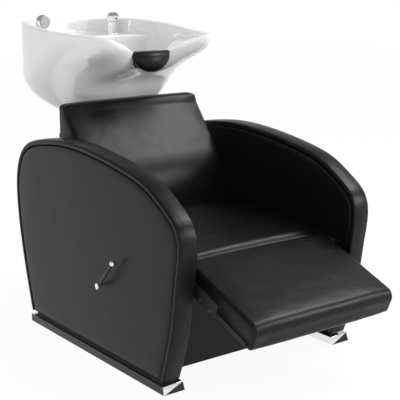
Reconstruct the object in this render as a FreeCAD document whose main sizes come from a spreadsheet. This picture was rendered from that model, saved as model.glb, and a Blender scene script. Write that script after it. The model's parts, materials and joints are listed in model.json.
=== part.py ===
import FreeCAD, Part
import math
import os
import re
import Sketcher
from FreeCAD import Placement, Rotation, Vector

# Hair washing bed: an upholstered seat between two padded arms on flat rails, with a tilting
# ceramic basin on its own pedestal behind the backrest. Lengths in millimetres, angles in degrees.
# X runs to the sitter's left, Y to the back, Z up. The origin is the centre of the underside of
# the pedestal's floor plate, on the floor.

sizes = {
    # Clearances and depths of cuts
    "slack": 0.3, "fitGap": 0.05, "overrun": 5,
    # Foot rails and their glides
    "railShift": 0.6, "railWidth": 72.4, "railLength": 767.6, "railTop": 25.6, "railRake": 10.6,
    "glideRadius": 18, "glideHeight": 1.5, "glideInset": 60,
    # Padded arms
    "armOverhang": 79, "armLength": 932, "armBottom": 34, "armHeight": 606, "armMiddle": 319.5,
    "armWidth": 61, "coreWidth": 36, "bandThickness": 16, "bandRound": 7, "padGroove": 2,
    "padRound": 5,
    # Steel frame under the seat
    "apronFront": 60, "apronThickness": 14, "apronBottom": 40, "crossDepth": 40,
    "crossHeight": 30, "crossWall": 3, "endPlate": 5, "endPlateHeight": 60,
    "boltRadius": 4, "boltHeadRadius": 7, "boltHeadHeight": 5, "boltLength": 46,
    "boltSpread": 24, "boltDrop": 14, "rearRailInset": 110,
    "screwRadius": 2.5, "screwHeadRadius": 5, "screwHeadHeight": 3, "screwLength": 12,
    # Seat
    "seatBoardBottom": 291, "boardThickness": 15, "boardSetback": 2, "seatSideGap": 4,
    "seatOverhang": 18, "seatDepth": 443, "seatFrontThick": 61.7, "seatRearThick": 79.7,
    "seatNoseRound": 24, "seatBottomRound": 8, "seatRearRound": 8, "seatCrown": 5,
    "seatDrawIn": 9,
    # Backrest
    "backGap": 2, "backDepth": 225, "backTopShare": 0.25507, "backFoldShift": 12,
    "backFoldShare": 0.43088, "backFoldRound": 220, "backValleyShift": 177,
    "backValleyShare": 0.92412, "backValleyRound": 40, "backTopShift": 190, "backTopRound": 14,
    "backFootRound": 8, "backSideGap": 29, "backDrawIn": 5, "backCrown": 4,
    "backBoardDrop": 16, "backBoardInset": 12,
    # Leg rest, measured from its hinge along and across its top face
    "legPitchAngle": 21.05, "hingeSetback": 38, "hingeRise": 32, "legLength": 307,
    "legHeel": 19, "legHeelUnder": 12, "legAbove": 43, "legBelow": 33, "legSideGap": 32,
    "legNoseRound": 28, "legHeelRound": 12, "legUnderRound": 14, "legDrawIn": 4, "legCrown": 4,
    "legLip": 22, "legLipSetback": 4, "legBoardStart": 26, "legPlateThickness": 5,
    "legPlateReach": 150, "legPlateRound": 15, "legPinRadius": 8, "legPinReach": 22,
    "legRunning": 0.05,
    "blockGap": 0.7, "blockFront": 18, "blockRear": 16, "blockBelow": 28, "blockAbove": 22,
    "blockBoltRise": 15, "blockBoltRadius": 3, "blockBoltHeadRadius": 5, "blockBoltHead": 4,
    "blockBoltLength": 54,
    # Release lever on the sitter's right
    "leverY": 302, "leverDrop": 46, "leverRadius": 6, "leverStandOff": 16, "leverHubRadius": 9,
    "leverHubLength": 14, "leverRodSeat": 4, "leverLeanAngle": 42.3, "leverRodRadius": 4.5,
    "leverRodLength": 112, "leverKnobRadius": 9, "leverKnobDepth": 7, "leverBushWall": 3,
    "leverRunning": 0.05, "leverReach": 13, "crankWidth": 16, "crankThickness": 5,
    "crankReach": 36, "springWall": 2.5,
    # Pedestal
    "tiltHeight": 610, "pedestalGap": 17, "shroudHalfWidth": 125, "shroudHalfDepth": 106,
    "shroudWall": 2, "shroudDrop": 25, "plateThickness": 8, "plateGap": 0.5, "tieDepth": 40,
    "anchorX": 100, "anchorY": 76, "anchorRadius": 5.5, "postMiddle": 85, "postSize": 40,
    "postWall": 3, "postRise": 14, "pivotRadius": 8, "pivotRunning": 0.06, "pivotInner": 50,
    "pivotHeadRadius": 13, "pivotHeadHeight": 6, "washerRadius": 14, "earOuter": 60,
    "earThickness": 8, "earDepth": 48, "earBelow": 18, "panelWidth": 150, "panelLap": 14,
    "panelThickness": 2, "strapThickness": 4, "strapHalfWidth": 105,
    "panelBottomShare": 0.20513, "panelHeightShare": 0.44444, "strapShare": 0.68376,
    # Water and waste
    "supplyX": 40, "supplyY": 90, "supplyRadius": 10.5, "supplyBore": 8, "supplyDrop": 24,
    "tailRadius": 20, "tailWall": 2.5, "tailDrop": 22, "cuffGap": 7, "cuffWall": 3,
    "cuffDrop": 12, "cuffDepth": 78, "wasteRadius": 22, "wasteBore": 19, "wasteShift": 60,
    "hoseRadius": 5, "hoseBore": 3.2,
    # Cradle under the basin
    "footRise": 30, "cradleRadius": 92, "cradleThickness": 8, "nutRadius": 32, "nutHeight": 10,
    "flangeRadius": 32, "flangeHeight": 3, "strainerRadius": 24, "strainerHole": 2.5,
    "strainerRing": 10, "strainerThickness": 2,
    # Basin
    "basinHalfWidth": 264, "basinRear": 340, "basinFront": 355, "basinHeight": 345,
    "basinNoseShare": 0.34, "rimWall": 18, "deckShare": 0.79420, "deckThickness": 14, "bowlRise": 20,
    "notchRadius": 63, "notchLand": 4, "notchShare": 0.72464, "wingShare": 0.84058,
    "wingInner": 190, "dipFront": 200, "cavityFront": 125, "cavityHalfWidth": 172,
    "cavityRear": 312, "cavityRearHalfWidth": 116, "cavityShoulder": 200, "wasteHole": 21,
    # Neck rest
    "neckRear": 210, "neckLength": 80, "neckDrop": 6, "neckGap": 0.5, "neckRound": 9,
    # Taps on the deck, as heights above it
    "tapX": 142, "tapY": 164, "tapHole": 17.5, "shankRadius": 15, "shankDrop": 34,
    "tapNutRadius": 24, "tapNutHeight": 12, "mixerRadius": 21.5, "mixerHeight": 43,
    "handleGap": 1, "handleHeight": 20, "handleDome": 11, "handleCrown": 12,
    "spindleRadius": 6, "spindleRunning": 0.1, "spindleDepth": 27,
    "handleSeat": 8, "dotRadius": 4, "dotThickness": 1,
    # Hand spray and its holder
    "holderRadius": 19, "holderHeight": 16, "stemRadius": 11.5, "stemRunning": 0.5,
    "stemRise": 4, "stemHeight": 46, "sprayHeadRadius": 25, "sprayCut": 12,
    "sprayFaceRadius": 20, "sprayFaceThickness": 4, "sprayTurnAngle": 10, "sprayTail": 40,
    "sprayTailRadius": 5,
}

# Values that follow from the ones above.
derived = {
    "armInner": "armMiddle - armWidth / 2",
    "railInner": "armMiddle - railWidth / 2 - railShift",
    "boardHalfWidth": "armInner - slack - endPlate",
    "boardFront": "apronFront + boardSetback",
    "seatHalfWidth": "armInner - seatSideGap",
    "seatFront": "apronFront - seatOverhang",
    "seatRear": "seatFront + seatDepth",
    "seatBase": "seatBoardBottom + boardThickness + slack",
    "seatFrontTop": "seatBase + seatFrontThick",
    "seatRearTop": "seatBase + seatRearThick",
    "backFront": "seatRear + backGap",
    "backRear": "backFront + backDepth",
    "footHeight": "tiltHeight + footRise",
    "backTop": "footHeight + backTopShare * basinHeight",
    "backFoldY": "backFront + backFoldShift",
    "backFoldZ": "seatBase + backFoldShare * (backTop - seatBase)",
    "backValleyY": "backFront + backValleyShift",
    "backValleyZ": "seatBase + backValleyShare * (backTop - seatBase)",
    "backTopFront": "backFront + backTopShift",
    "backHalfWidth": "armInner - backSideGap",
    "backBoardTop": "backTop - backBoardDrop",
    "backBoardHalfWidth": "backHalfWidth - backBoardInset",
    "rearRailFront": "min(backRear; armLength - armOverhang - rearRailInset) - crossDepth",
    "noseReach": "basinNoseShare * basinFront",
    "setback": "backRear + boardThickness + max(pedestalGap + shroudHalfDepth; noseReach)",
    "legHingeY": "apronFront - hingeSetback",
    "legHingeZ": "seatBoardBottom + hingeRise",
    "legHalfWidth": "armInner - legSideGap",
    "blockInner": "legHalfWidth + slack + legPlateThickness + blockGap",
    "leverZ": "seatBoardBottom - leverDrop",
    "leverInner": "armInner - leverReach",
    "postTop": "tiltHeight + postRise",
    "shroudTop": "tiltHeight - shroudDrop",
    "panelBottom": "shroudTop * panelBottomShare",
    "panelHeight": "shroudTop * panelHeightShare",
    "strapHeight": "shroudTop * strapShare",
    "supplyTop": "tiltHeight - supplyDrop",
    "tailBottom": "tiltHeight - tailDrop",
    "cuffTop": "tiltHeight - cuffDrop",
    "cuffBottom": "cuffTop - cuffDepth",
    "bowlBottom": "footHeight + bowlRise",
    "deckHeight": "footHeight + deckShare * basinHeight",
    "notchHeight": "footHeight + notchShare * basinHeight",
    "wingHeight": "footHeight + wingShare * basinHeight",
    "neckTop": "notchHeight - neckDrop",
    "shankBottom": "deckHeight - shankDrop",
    "mixerTop": "deckHeight + mixerHeight",
    "handleBottom": "mixerTop + handleGap",
    "handleShoulder": "handleBottom + handleHeight",
    "handleTop": "handleShoulder + handleDome",
    "spindleBottom": "mixerTop - spindleDepth",
    "holderTop": "deckHeight + holderHeight",
    "stemBottom": "deckHeight + stemRise",
    "sprayHeadZ": "stemBottom + stemHeight",
}

# Arm outline from the front foot of the band, up, over and down to the rear foot.
# Each pair is a share of the arm's length and of its height.
armOutlineShares = (
    (0.098, 0.0), (0.063, 0.149), (0.035, 0.333), (0.012, 0.563), (0.002, 0.670), (0.018, 0.759),
    (0.080, 0.822), (0.136, 0.878), (0.268, 0.942), (0.486, 0.990), (0.646, 1.0), (0.836, 0.967),
    (0.940, 0.911), (0.987, 0.804), (1.0, 0.599), (0.960, 0.243), (0.916, 0.0),
)

# Levels of the basin's outside, as a share of its height above the foot. At each level one curve
# runs from the side ridge round the back and one from the ridge across the front. X is a share
# of the half width; Y is a share of the rear reach when positive and of the front reach when not.
basinLevelShares = (
    (0.0,
     ((0.288, -0.107), (0.322, 0.0), (0.280, 0.124), (0.230, 0.175), (0.174, 0.209), (0.0, 0.250)),
     ((0.212, -0.180), (0.114, -0.224), (0.0, -0.239))),
    (0.128,
     ((0.598, -0.099), (0.663, 0.029), (0.568, 0.221), (0.455, 0.288), (0.341, 0.338), (0.0, 0.382)),
     ((0.473, -0.211), (0.227, -0.273), (0.0, -0.282))),
    (0.255,
     ((0.731, -0.008), (0.864, 0.176), (0.777, 0.368), (0.625, 0.462), (0.455, 0.544), (0.0, 0.588)),
     ((0.606, -0.296), (0.303, -0.324), (0.0, -0.324))),
    (0.426,
     ((0.841, -0.070), (0.992, 0.132), (0.892, 0.441), (0.701, 0.628), (0.511, 0.750), (0.0, 0.829)),
     ((0.625, -0.423), (0.303, -0.451), (0.0, -0.423))),
    (0.571,
     ((0.871, -0.206), (1.0, -0.014), (0.864, 0.441), (0.652, 0.771), (0.447, 0.965), (0.0, 1.0)),
     ((0.644, -0.620), (0.246, -0.775), (0.0, -0.752))),
    (0.696,
     ((0.886, -0.372), (1.0, -0.113), (0.864, 0.441), (0.652, 0.771), (0.447, 0.965), (0.0, 1.0)),
     ((0.701, -0.845), (0.303, -0.831), (0.0, -0.817))),
    (0.780,
     ((0.883, -0.650), (1.0, -0.200), (0.864, 0.441), (0.652, 0.771), (0.447, 0.965), (0.0, 1.0)),
     ((0.735, -0.930), (0.379, -0.873), (0.0, -0.840))),
    (1.0,
     ((0.845, -0.746), (0.989, -0.262), (0.864, 0.441), (0.652, 0.771), (0.447, 0.965), (0.0, 1.0)),
     ((0.701, -1.0), (0.379, -0.885), (0.0, -0.840))),
)

# Crest of the rim seen from the side: share of the front or rear reach, share of the height.
crestShares = (
    (-1.0, 0.841), (-0.746, 0.867), (-0.541, 0.875), (-0.262, 0.899), (-0.014, 0.922),
    (0.138, 0.933), (0.294, 0.942), (0.441, 0.948), (1.0, 0.916),
)

# Bowl levels: height share above the bowl's bottom, half width share, front and rear share.
bowlLevelShares = (
    (0.0, 0.205, -0.150, 0.150), (0.080, 0.440, -0.200, 0.190), (0.240, 0.600, -0.265, 0.215),
    (0.450, 0.760, -0.370, 0.250), (0.580, 0.835, -0.470, 0.265), (0.720, 0.860, -0.680, 0.270),
    (0.860, 0.870, -0.745, 0.275), (1.250, 0.885, -0.760, 0.280),
)

doc = FreeCAD.newDocument("HairWashingBed")
sheet = doc.addObject("Spreadsheet::Sheet", "Sizes")
aliases = {**sizes, **derived}
for row, alias in enumerate(aliases, start=1):
    sheet.set(f"A{row}", alias)
    sheet.setAlias(f"B{row}", alias)
for row, (alias, content) in enumerate(aliases.items(), start=1):
    sheet.set(f"B{row}", f"={content}" if alias in derived else str(content))
doc.recompute()
nodes = []


def size(alias):
    """The number that the sheet holds for an alias."""
    return float(sheet.get(alias))


def formula(text):
    """An expression in which each alias points to the sheet."""
    return re.sub(r"[A-Za-z]\w*", lambda word: "Sizes." + word.group() if word.group() in aliases
                  else word.group(), str(text))


def bind(item, bindings):
    for path, text in bindings.items():
        item.setExpression(path, formula(text))
    return item


def move(item, x="0", y="0", z="0"):
    return bind(item, {"Placement.Base.x": x, "Placement.Base.y": y, "Placement.Base.z": z})


def node(label, item):
    """Gives a sub-part the label that also names its file."""
    item.Label = label
    nodes.append(item)
    return item


def box(name, length, width, height, x, y, z):
    item = doc.addObject("Part::Box", name)
    return move(bind(item, {"Length": length, "Width": width, "Height": height}), x, y, z)


turns = {"X": Rotation(Vector(0, 1, 0), 90), "Y": Rotation(Vector(1, 0, 0), -90), "Z": Rotation()}


def rod(name, radius, length, x, y, z, along="Z"):
    item = doc.addObject("Part::Cylinder", name)
    item.Placement = Placement(Vector(), turns[along])
    return move(bind(item, {"Radius": radius, "Height": length}), x, y, z)


def fuse(name, *items):
    item = doc.addObject("Part::MultiFuse", name)
    item.Shapes = list(items)
    return item


def group(name, items):
    item = doc.addObject("Part::Compound", name)
    item.Links = list(items)
    return item


def cut(name, base, *tools):
    item = doc.addObject("Part::Cut", name)
    item.Base = base
    item.Tool = tools[0] if len(tools) == 1 else fuse(name + "Tools", *tools)
    return item


def tube(name, outer, inner, length, x, y, z, along="Z"):
    return cut(name, rod(name + "Outside", outer, length, x, y, z, along),
               rod(name + "Inside", inner, length, x, y, z, along))


def mirrored(name, source):
    item = doc.addObject("Part::Mirroring", name)
    item.Source = source
    item.Normal = Vector(1, 0, 0)
    return item


def planeOf(body, role):
    return next(item for item in body.Origin.OriginFeatures if item.Role == role)


def sketched(name, role, points):
    """A body with a closed polygon sketch whose corners are bound to the sheet."""
    body = doc.addObject("PartDesign::Body", name)
    sketch = body.newObject("Sketcher::SketchObject", name + "Sketch")
    sketch.AttachmentSupport = [(planeOf(body, role), "")]
    sketch.MapMode = "FlatFace"
    corners = [Vector(guess(x), guess(y), 0) for x, y in points]
    for index, corner in enumerate(corners):
        sketch.addGeometry(Part.LineSegment(corner, corners[(index + 1) % len(corners)]), False)
    for index in range(len(corners)):
        sketch.addConstraint(
            Sketcher.Constraint("Coincident", index, 2, (index + 1) % len(corners), 1))
    for index, (x, y) in enumerate(points):
        for kind, text, start in (("DistanceX", x, corners[index].x),
                                  ("DistanceY", y, corners[index].y)):
            number = sketch.addConstraint(Sketcher.Constraint(kind, -1, 1, index, 1, start))
            sketch.setExpression(f"Constraints[{number}]", formula(text))
    return body, sketch


def guess(text):
    """The value of an expression, worked out on the sheet."""
    scratch = f"B{len(aliases) + 2}"
    sheet.set(scratch, "=" + str(text))
    sheet.recompute()
    return float(sheet.get(scratch))


def padded(name, role, points, length):
    body, sketch = sketched(name, role, points)
    pad = body.newObject("PartDesign::Pad", name + "Pad")
    pad.Profile = sketch
    bind(pad, {"Length": length})
    return body


def turned(name, points):
    """A body turned about its own Z axis from an outline of radius and height."""
    body, sketch = sketched(name, "XZ_Plane", points)
    turn = body.newObject("PartDesign::Revolution", name + "Turn")
    turn.Profile = sketch
    turn.ReferenceAxis = (sketch, ["V_Axis"])
    turn.Angle = 360
    return body


def solidFeature(name, shape, x=0, y=0, z=0, rotation=Rotation()):
    item = doc.addObject("Part::Feature", name)
    item.Shape = shape
    item.Placement = Placement(Vector(x, y, z), rotation)
    return item


def roundedOutline(points, radii):
    """Closed wire of straight runs with an arc at each corner, drawn in the YZ plane."""
    corners = [Vector(0, y, z) for y, z in points]
    marks = []
    for index, corner in enumerate(corners):
        before = (corners[index - 1] - corner).normalize()
        after = (corners[(index + 1) % len(corners)] - corner).normalize()
        half = before.getAngle(after) / 2
        bisector = (before + after).normalize()
        reach = radii[index] / math.tan(half)
        middle = corner + bisector * (radii[index] / math.sin(half) - radii[index])
        marks.append((corner + before * reach, middle, corner + after * reach))
    edges = []
    for index, (start, middle, end) in enumerate(marks):
        edges.append(Part.Arc(start, middle, end).toShape())
        edges.append(Part.LineSegment(end, marks[(index + 1) % len(marks)][0]).toShape())
    return Part.Wire(edges)


def movedEdges(points, insets):
    """The corners of a polygon after each edge has moved inwards by its own inset."""
    lines = []
    for index, (y, z) in enumerate(points):
        nextY, nextZ = points[(index + 1) % len(points)]
        run = math.hypot(nextY - y, nextZ - z)
        normal = ((z - nextZ) / run, (nextY - y) / run)
        lines.append((normal, normal[0] * y + normal[1] * z + insets[index]))
    corners = []
    for index in range(len(points)):
        (firstY, firstZ), first = lines[index - 1]
        (secondY, secondZ), second = lines[index]
        spread = firstY * secondZ - firstZ * secondY
        corners.append(((first * secondZ - second * firstZ) / spread,
                        (firstY * second - secondY * first) / spread))
    return corners


def cushion(points, radii, softness, halfWidth, drawIn, crown):
    """A stuffed piece: its section swells to the middle and is drawn in at both sides.

    The softness of an edge says how far that edge follows the crown and the drawing in.
    """
    drawnShares = ((1, 1), (0.988, 0.60), (0.966, 0.30), (0.935, 0.10), (0.9, 0))
    crownedShares = (0.75, 0.6, 0.45, 0.3, 0.15)
    half = [(across, drawIn * inwards - crown * (1 - across ** 2))
            for across, inwards in drawnShares]
    half += [(across, -crown * (1 - across ** 2)) for across in crownedShares]
    stations = [(-across, inset) for across, inset in half] + [(0, -crown)] + half[::-1]
    wires = []
    for share, inset in stations:
        section = movedEdges(points, [inset * soft for soft in softness])
        wire = roundedOutline(section, radii)
        wire.translate(Vector(share * halfWidth, 0, 0))
        wires.append(wire)
    return Part.makeLoft(wires, True, True)


def armPoints(inset):
    """Points of the arm's side outline, moved inwards by an inset, in the YZ plane."""
    points = [Vector(0, y * size("armLength") - size("armOverhang"),
                     size("armBottom") + z * size("armHeight")) for y, z in armOutlineShares]
    curve = Part.BSplineCurve()
    curve.interpolate(points)
    moved = []
    for point in points:
        tangent = curve.tangent(curve.parameter(point))[0]
        inwards = Vector(0, tangent.z, -tangent.y).normalize()
        moved.append(point + inwards * inset)
    return moved


def armFace(inset, bottom, x):
    """Flat face inside the arm's outline, closed along a level line."""
    points = armPoints(inset)
    for end, beside in ((0, 1), (-1, -2)):
        slope = points[end] - points[beside]
        points[end] = points[end] + slope * ((bottom - points[end].z) / slope.z)
    curve = Part.BSplineCurve()
    curve.interpolate(points)
    edges = [curve.toShape(), Part.LineSegment(points[-1], points[0]).toShape()]
    face = Part.Face(Part.Wire(edges))
    face.translate(Vector(x, -size("setback"), 0))
    return face


def armSlab(inset, bottom, x, thickness):
    return armFace(inset, bottom, x).extrude(Vector(thickness, 0, 0))


def edgesAt(shape, x, least):
    """Edges lying in a plane of constant X and longer than a limit."""
    reach = size("slack") / 10
    return [edge for edge in shape.Edges if edge.Length > least
            and abs(edge.BoundBox.XMin - x) < reach and abs(edge.BoundBox.XMax - x) < reach]


def alongRoute(points, radius, bore):
    """A hose along straight runs joined by tangent arcs as large as the runs allow."""
    fullShare = 0.45
    edges = []
    start = points[0]
    for index in range(1, len(points) - 1):
        corner = points[index]
        before = points[index - 1] - corner
        after = points[index + 1] - corner
        half = before.getAngle(after) / 2
        reach = fullShare * min(before.Length, after.Length)
        bend = reach * math.tan(half)
        bisector = (before.normalize() + after.normalize()).normalize()
        middle = corner + bisector * (bend / math.sin(half) - bend)
        first = corner + before * reach
        last = corner + after * reach
        edges.append(Part.LineSegment(start, first).toShape())
        edges.append(Part.Arc(first, middle, last).toShape())
        start = last
        print("hose bend radius", round(bend, 1))
    edges.append(Part.LineSegment(start, points[-1]).toShape())
    path = Part.Wire(edges)
    heading = points[1] - points[0]
    solids = []
    for reach in (radius, bore):
        ring = Part.Wire(Part.makeCircle(reach, points[0], heading))
        solids.append(path.makePipeShell([ring], True, False))
    expected = math.pi * radius ** 2 * path.Length
    print("hose volume over section times length", round(solids[0].Volume / expected, 4))
    return solids[0].cut(solids[1])


# Foot rails: flat bars with a raked front, standing on thin glides.
def footRails():
    right = padded("RightRail", "YZ_Plane", (
        ("0", "glideHeight"), ("railLength", "glideHeight"), ("railLength", "railTop"),
        ("railRake", "railTop")), "railWidth")
    move(right, "railInner", "-setback")
    node("right_foot_rail", right)
    node("left_foot_rail", mirrored("LeftRail", right))
    glides = [rod(f"Glide{side}{place}", "glideRadius", "glideHeight", f"{sign}armMiddle", y, "0")
              for side, sign in (("Right", ""), ("Left", "-"))
              for place, y in (("Front", "glideInset - setback"),
                               ("Middle", "railLength / 2 - setback"),
                               ("Rear", "railLength - glideInset - setback"))]
    node("foot_glides", group("Glides", glides))


crossMiddle = "(seatBoardBottom - crossHeight / 2)"
boltLevel = "(seatBoardBottom - crossHeight - boltDrop)"
frontRailMiddle = "(apronFront + apronThickness + crossDepth / 2 - setback)"
rearRailMiddle = "(rearRailFront + crossDepth / 2 - setback)"
boltPlaces = [(end + place, f"{middle} {sign} boltSpread / 2")
              for end, middle in (("Front", frontRailMiddle), ("Rear", rearRailMiddle))
              for place, sign in (("Near", "-"), ("Far", "+"))]


def frameDrills(name, radius):
    """Sideways drillings for the frame bolts through everything on the right."""
    return [rod(name + place, radius, "armWidth", "boardHalfWidth", y, boltLevel, "X")
            for place, y in boltPlaces]


def blockDrills(name, radius):
    """Sideways drillings for the bolts that hold a hinge block to the right arm."""
    return [rod(name + place, radius, "armMiddle - blockInner", "blockInner",
                "legHingeY - setback", f"legHingeZ {rise}", "X")
            for place, rise in (("Low", "- blockBoltRise"), ("High", "+ blockBoltRise"))]


# Arms: a plywood core on the rail, an upholstered band round its edge and a pad on each face.
def arms():
    half = size("coreWidth") / 2
    middle = size("armMiddle")
    reach = size("armWidth") / 2
    bottom = size("armBottom")
    band = size("bandThickness")
    coreShape = armSlab(band + size("slack"), size("railTop"), middle - half, size("coreWidth"))
    core = solidFeature("CoreBlank", coreShape)
    outside = armSlab(0, bottom, middle - reach, size("armWidth"))
    inside = armSlab(band, bottom - band, middle - reach, size("armWidth"))
    bandShape = outside.cut(inside)
    rims = [edge for x in (middle - reach, middle + reach)
            for edge in edgesAt(bandShape, x, size("armLength"))]
    longest = max(edge.Length for edge in rims)
    rims = [edge for edge in rims if edge.Length > longest - band]
    bandShape = bandShape.makeFillet(size("bandRound"), rims)
    padInset = band + size("padGroove")
    thickness = reach - half - size("slack")
    outerPad = armSlab(padInset, bottom + size("padGroove"), middle + reach - thickness, thickness)
    outerPad = outerPad.makeFillet(size("padRound"),
                                   edgesAt(outerPad, middle + reach, size("armWidth")))
    innerPad = armSlab(padInset, bottom + size("padGroove"), middle - reach, thickness)
    innerPad = innerPad.makeFillet(size("padRound"),
                                   edgesAt(innerPad, middle - reach, size("armWidth")))
    bandItem = solidFeature("RightBand", bandShape)
    outerItem = solidFeature("RightOuterPad", outerPad)
    innerBlank = solidFeature("InnerPadBlank", innerPad)
    coreHoles = frameDrills("CoreDrill", "boltRadius + fitGap")
    coreHoles += blockDrills("CoreBlockDrill", "blockBoltRadius + fitGap")
    rightCore = cut("RightCore", core, *coreHoles)
    padHoles = frameDrills("PadDrill", "boltRadius + slack")
    padHoles += blockDrills("PadBlockDrill", "blockBoltRadius + slack")
    rightInner = cut("RightInnerPad", innerBlank, *padHoles)
    node("right_arm_core", rightCore)
    node("right_arm_band", bandItem)
    node("right_outer_pad", outerItem)
    node("right_inner_pad", rightInner)
    leverHole = rod("LeverHole", "leverRadius + leverRunning + leverBushWall + fitGap",
                    "coreWidth", "-armMiddle - coreWidth / 2", "leverY - setback", "leverZ", "X")
    padHole = rod("LeverPadHole", "leverRadius + slack", "armWidth",
                  "-armMiddle - armWidth / 2", "leverY - setback", "leverZ", "X")
    node("left_arm_core", cut("LeftCore", mirrored("LeftCoreBlank", rightCore), leverHole))
    node("left_arm_band", mirrored("LeftBand", bandItem))
    node("left_outer_pad",
         cut("LeftOuterPad", mirrored("LeftOuterBlank", outerItem), padHole))
    node("left_inner_pad",
         cut("LeftInnerPad", mirrored("LeftInnerBlank", rightInner), padHole))


# Steel frame between the arms: two cross tubes with bolted end plates.
def crossRail(label, name, front):
    outside = box(name + "Outside", "2 * (boardHalfWidth + endPlate)", "crossDepth",
                  "crossHeight", "-boardHalfWidth - endPlate", front,
                  "seatBoardBottom - crossHeight")
    inside = box(name + "Inside", "2 * boardHalfWidth", "crossDepth - 2 * crossWall",
                 "crossHeight - 2 * crossWall", "-boardHalfWidth", f"{front} + crossWall",
                 "seatBoardBottom - crossHeight + crossWall")
    rail = cut(name + "Tube", outside, inside)
    plates = [box(name + "Plate" + side, "endPlate", "crossDepth", "endPlateHeight", x, front,
                  "seatBoardBottom - endPlateHeight")
              for side, x in (("Right", "boardHalfWidth"), ("Left", "-boardHalfWidth - endPlate"))]
    welded = fuse(name + "Welded", rail, *plates)
    bores = frameDrills(name + "Bore", "boltRadius + fitGap")
    bores += [mirrored(name + "BoreLeft" + str(number), bore)
              for number, bore in enumerate(bores)]
    screws = screwRods(name + "ScrewBore", front + " + crossDepth / 2", "screwRadius + fitGap",
                       "crossHeight", "seatBoardBottom - crossHeight")
    return node(label, cut(name, welded, *bores, *screws))


screwPlaces = (("FarLeft", "-boardHalfWidth * 3 / 4"), ("Left", "-boardHalfWidth / 4"),
               ("Right", "boardHalfWidth / 4"), ("FarRight", "boardHalfWidth * 3 / 4"))


def screwRods(name, y, radius, length, z):
    return [rod(name + place, radius, length, x, y, z) for place, x in screwPlaces]


def seatFrame():
    frontEdge = "apronFront + apronThickness - setback"
    rearEdge = "rearRailFront - setback"
    crossRail("front_cross_rail", "FrontRail", frontEdge)
    crossRail("rear_cross_rail", "RearRail", rearEdge)
    board = box("SeatBoardBlank", "2 * boardHalfWidth",
                "backRear - boardFront", "boardThickness", "-boardHalfWidth",
                "boardFront - setback", "seatBoardBottom")
    holes = []
    screws = []
    for name, y in (("Front", frontEdge), ("Rear", rearEdge)):
        middle = y + " + crossDepth / 2"
        holes += screwRods(name + "BoardHole", middle, "screwRadius + fitGap", "screwLength",
                           "seatBoardBottom")
        shanks = screwRods(name + "Shank", middle, "screwRadius",
                           "screwLength + crossHeight", "seatBoardBottom - crossHeight")
        heads = screwRods(name + "Head", middle, "screwHeadRadius", "screwHeadHeight",
                          "seatBoardBottom - crossHeight - screwHeadHeight")
        screws += [fuse(f"{name}SeatScrew{number}", shank, head)
                   for number, (shank, head) in enumerate(zip(shanks, heads))]
    node("seat_board", cut("SeatBoard", board, *holes))
    node("seat_screws", group("SeatScrews", screws))
    bolts = []
    for place, y in boltPlaces:
        shank = rod("Shank" + place, "boltRadius", "boltLength", "boardHalfWidth", y,
                    boltLevel, "X")
        head = rod("Head" + place, "boltHeadRadius", "boltHeadHeight",
                   "boardHalfWidth - boltHeadHeight", y, boltLevel, "X")
        bolts.append(fuse("Bolt" + place, shank, head))
    bolts += [mirrored(f"LeftBolt{number}", bolt) for number, bolt in enumerate(bolts)]
    node("arm_bolts", group("ArmBolts", bolts + hingeBlocks()))
    node("front_apron", box("Apron", "2 * (boardHalfWidth + endPlate)", "apronThickness",
                            "seatBoardBottom - apronBottom", "-boardHalfWidth - endPlate",
                            "apronFront - setback", "apronBottom"))


# Seat cushion, with a rounded nose at the front and a low crown.
def seat():
    top = size("seatBase")
    points = ((size("seatFront"), top), (size("seatRear"), top),
              (size("seatRear"), size("seatRearTop")), (size("seatFront"), size("seatFrontTop")))
    radii = (size("seatBottomRound"), size("seatBottomRound"), size("seatRearRound"),
             size("seatNoseRound"))
    softness = (0, 0, 1, 0)
    shape = cushion(points, radii, softness, size("seatHalfWidth"), size("seatDrawIn"),
                    size("seatCrown"))
    node("seat_cushion", solidFeature("Seat", shape, 0, -size("setback"), 0))


# Backrest: a board screwed to the rear rail and a wedge-shaped cushion in front of it.
def backrest():
    top = size("seatBase")
    rear = size("backRear") - size("slack")
    points = ((size("backFront"), top), (rear, top), (rear, size("backTop")),
              (size("backTopFront"), size("backTop")),
              (size("backValleyY"), size("backValleyZ")),
              (size("backFoldY"), size("backFoldZ")))
    radii = (size("backFootRound"), size("backFootRound"), size("backTopRound"),
             size("backTopRound"), size("backValleyRound"), size("backFoldRound"))
    softness = (0, 0, 0.5, 1, 1, 0.3)
    shape = cushion(points, radii, softness, size("backHalfWidth"), size("backDrawIn"),
                    size("backCrown"))
    node("backrest_cushion", solidFeature("Backrest", shape, 0, -size("setback"), 0))
    board = box("BackBoardBlank", "2 * backBoardHalfWidth", "boardThickness",
                "backBoardTop - seatBoardBottom + crossHeight", "-backBoardHalfWidth",
                "backRear - setback", "seatBoardBottom - crossHeight")
    holes = []
    screws = []
    for place, x in screwPlaces:
        holes.append(rod("BackHole" + place, "screwRadius + fitGap", "boardThickness", x,
                         "backRear - setback", crossMiddle, "Y"))
        screws.append(rod("BackScrew" + place, "screwHeadRadius", "screwHeadHeight", x,
                          "backRear + boardThickness - setback", crossMiddle, "Y"))
        screws[-1] = fuse("BackScrewWhole" + place, screws[-1],
                          rod("BackShank" + place, "screwRadius", "boardThickness", x,
                              "backRear - setback", crossMiddle, "Y"))
    node("backrest_board", cut("BackBoard", board, *holes))
    node("backrest_screws", group("BackScrews", screws))


# Leg rest in its own frame: the hinge at the origin, the foot end towards -Y, the top face up.
def onLegRest(item):
    item.Placement.Rotation = Rotation(Vector(1, 0, 0), size("legPitchAngle"))
    return move(item, "0", "legHingeY - setback", "legHingeZ")


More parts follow.
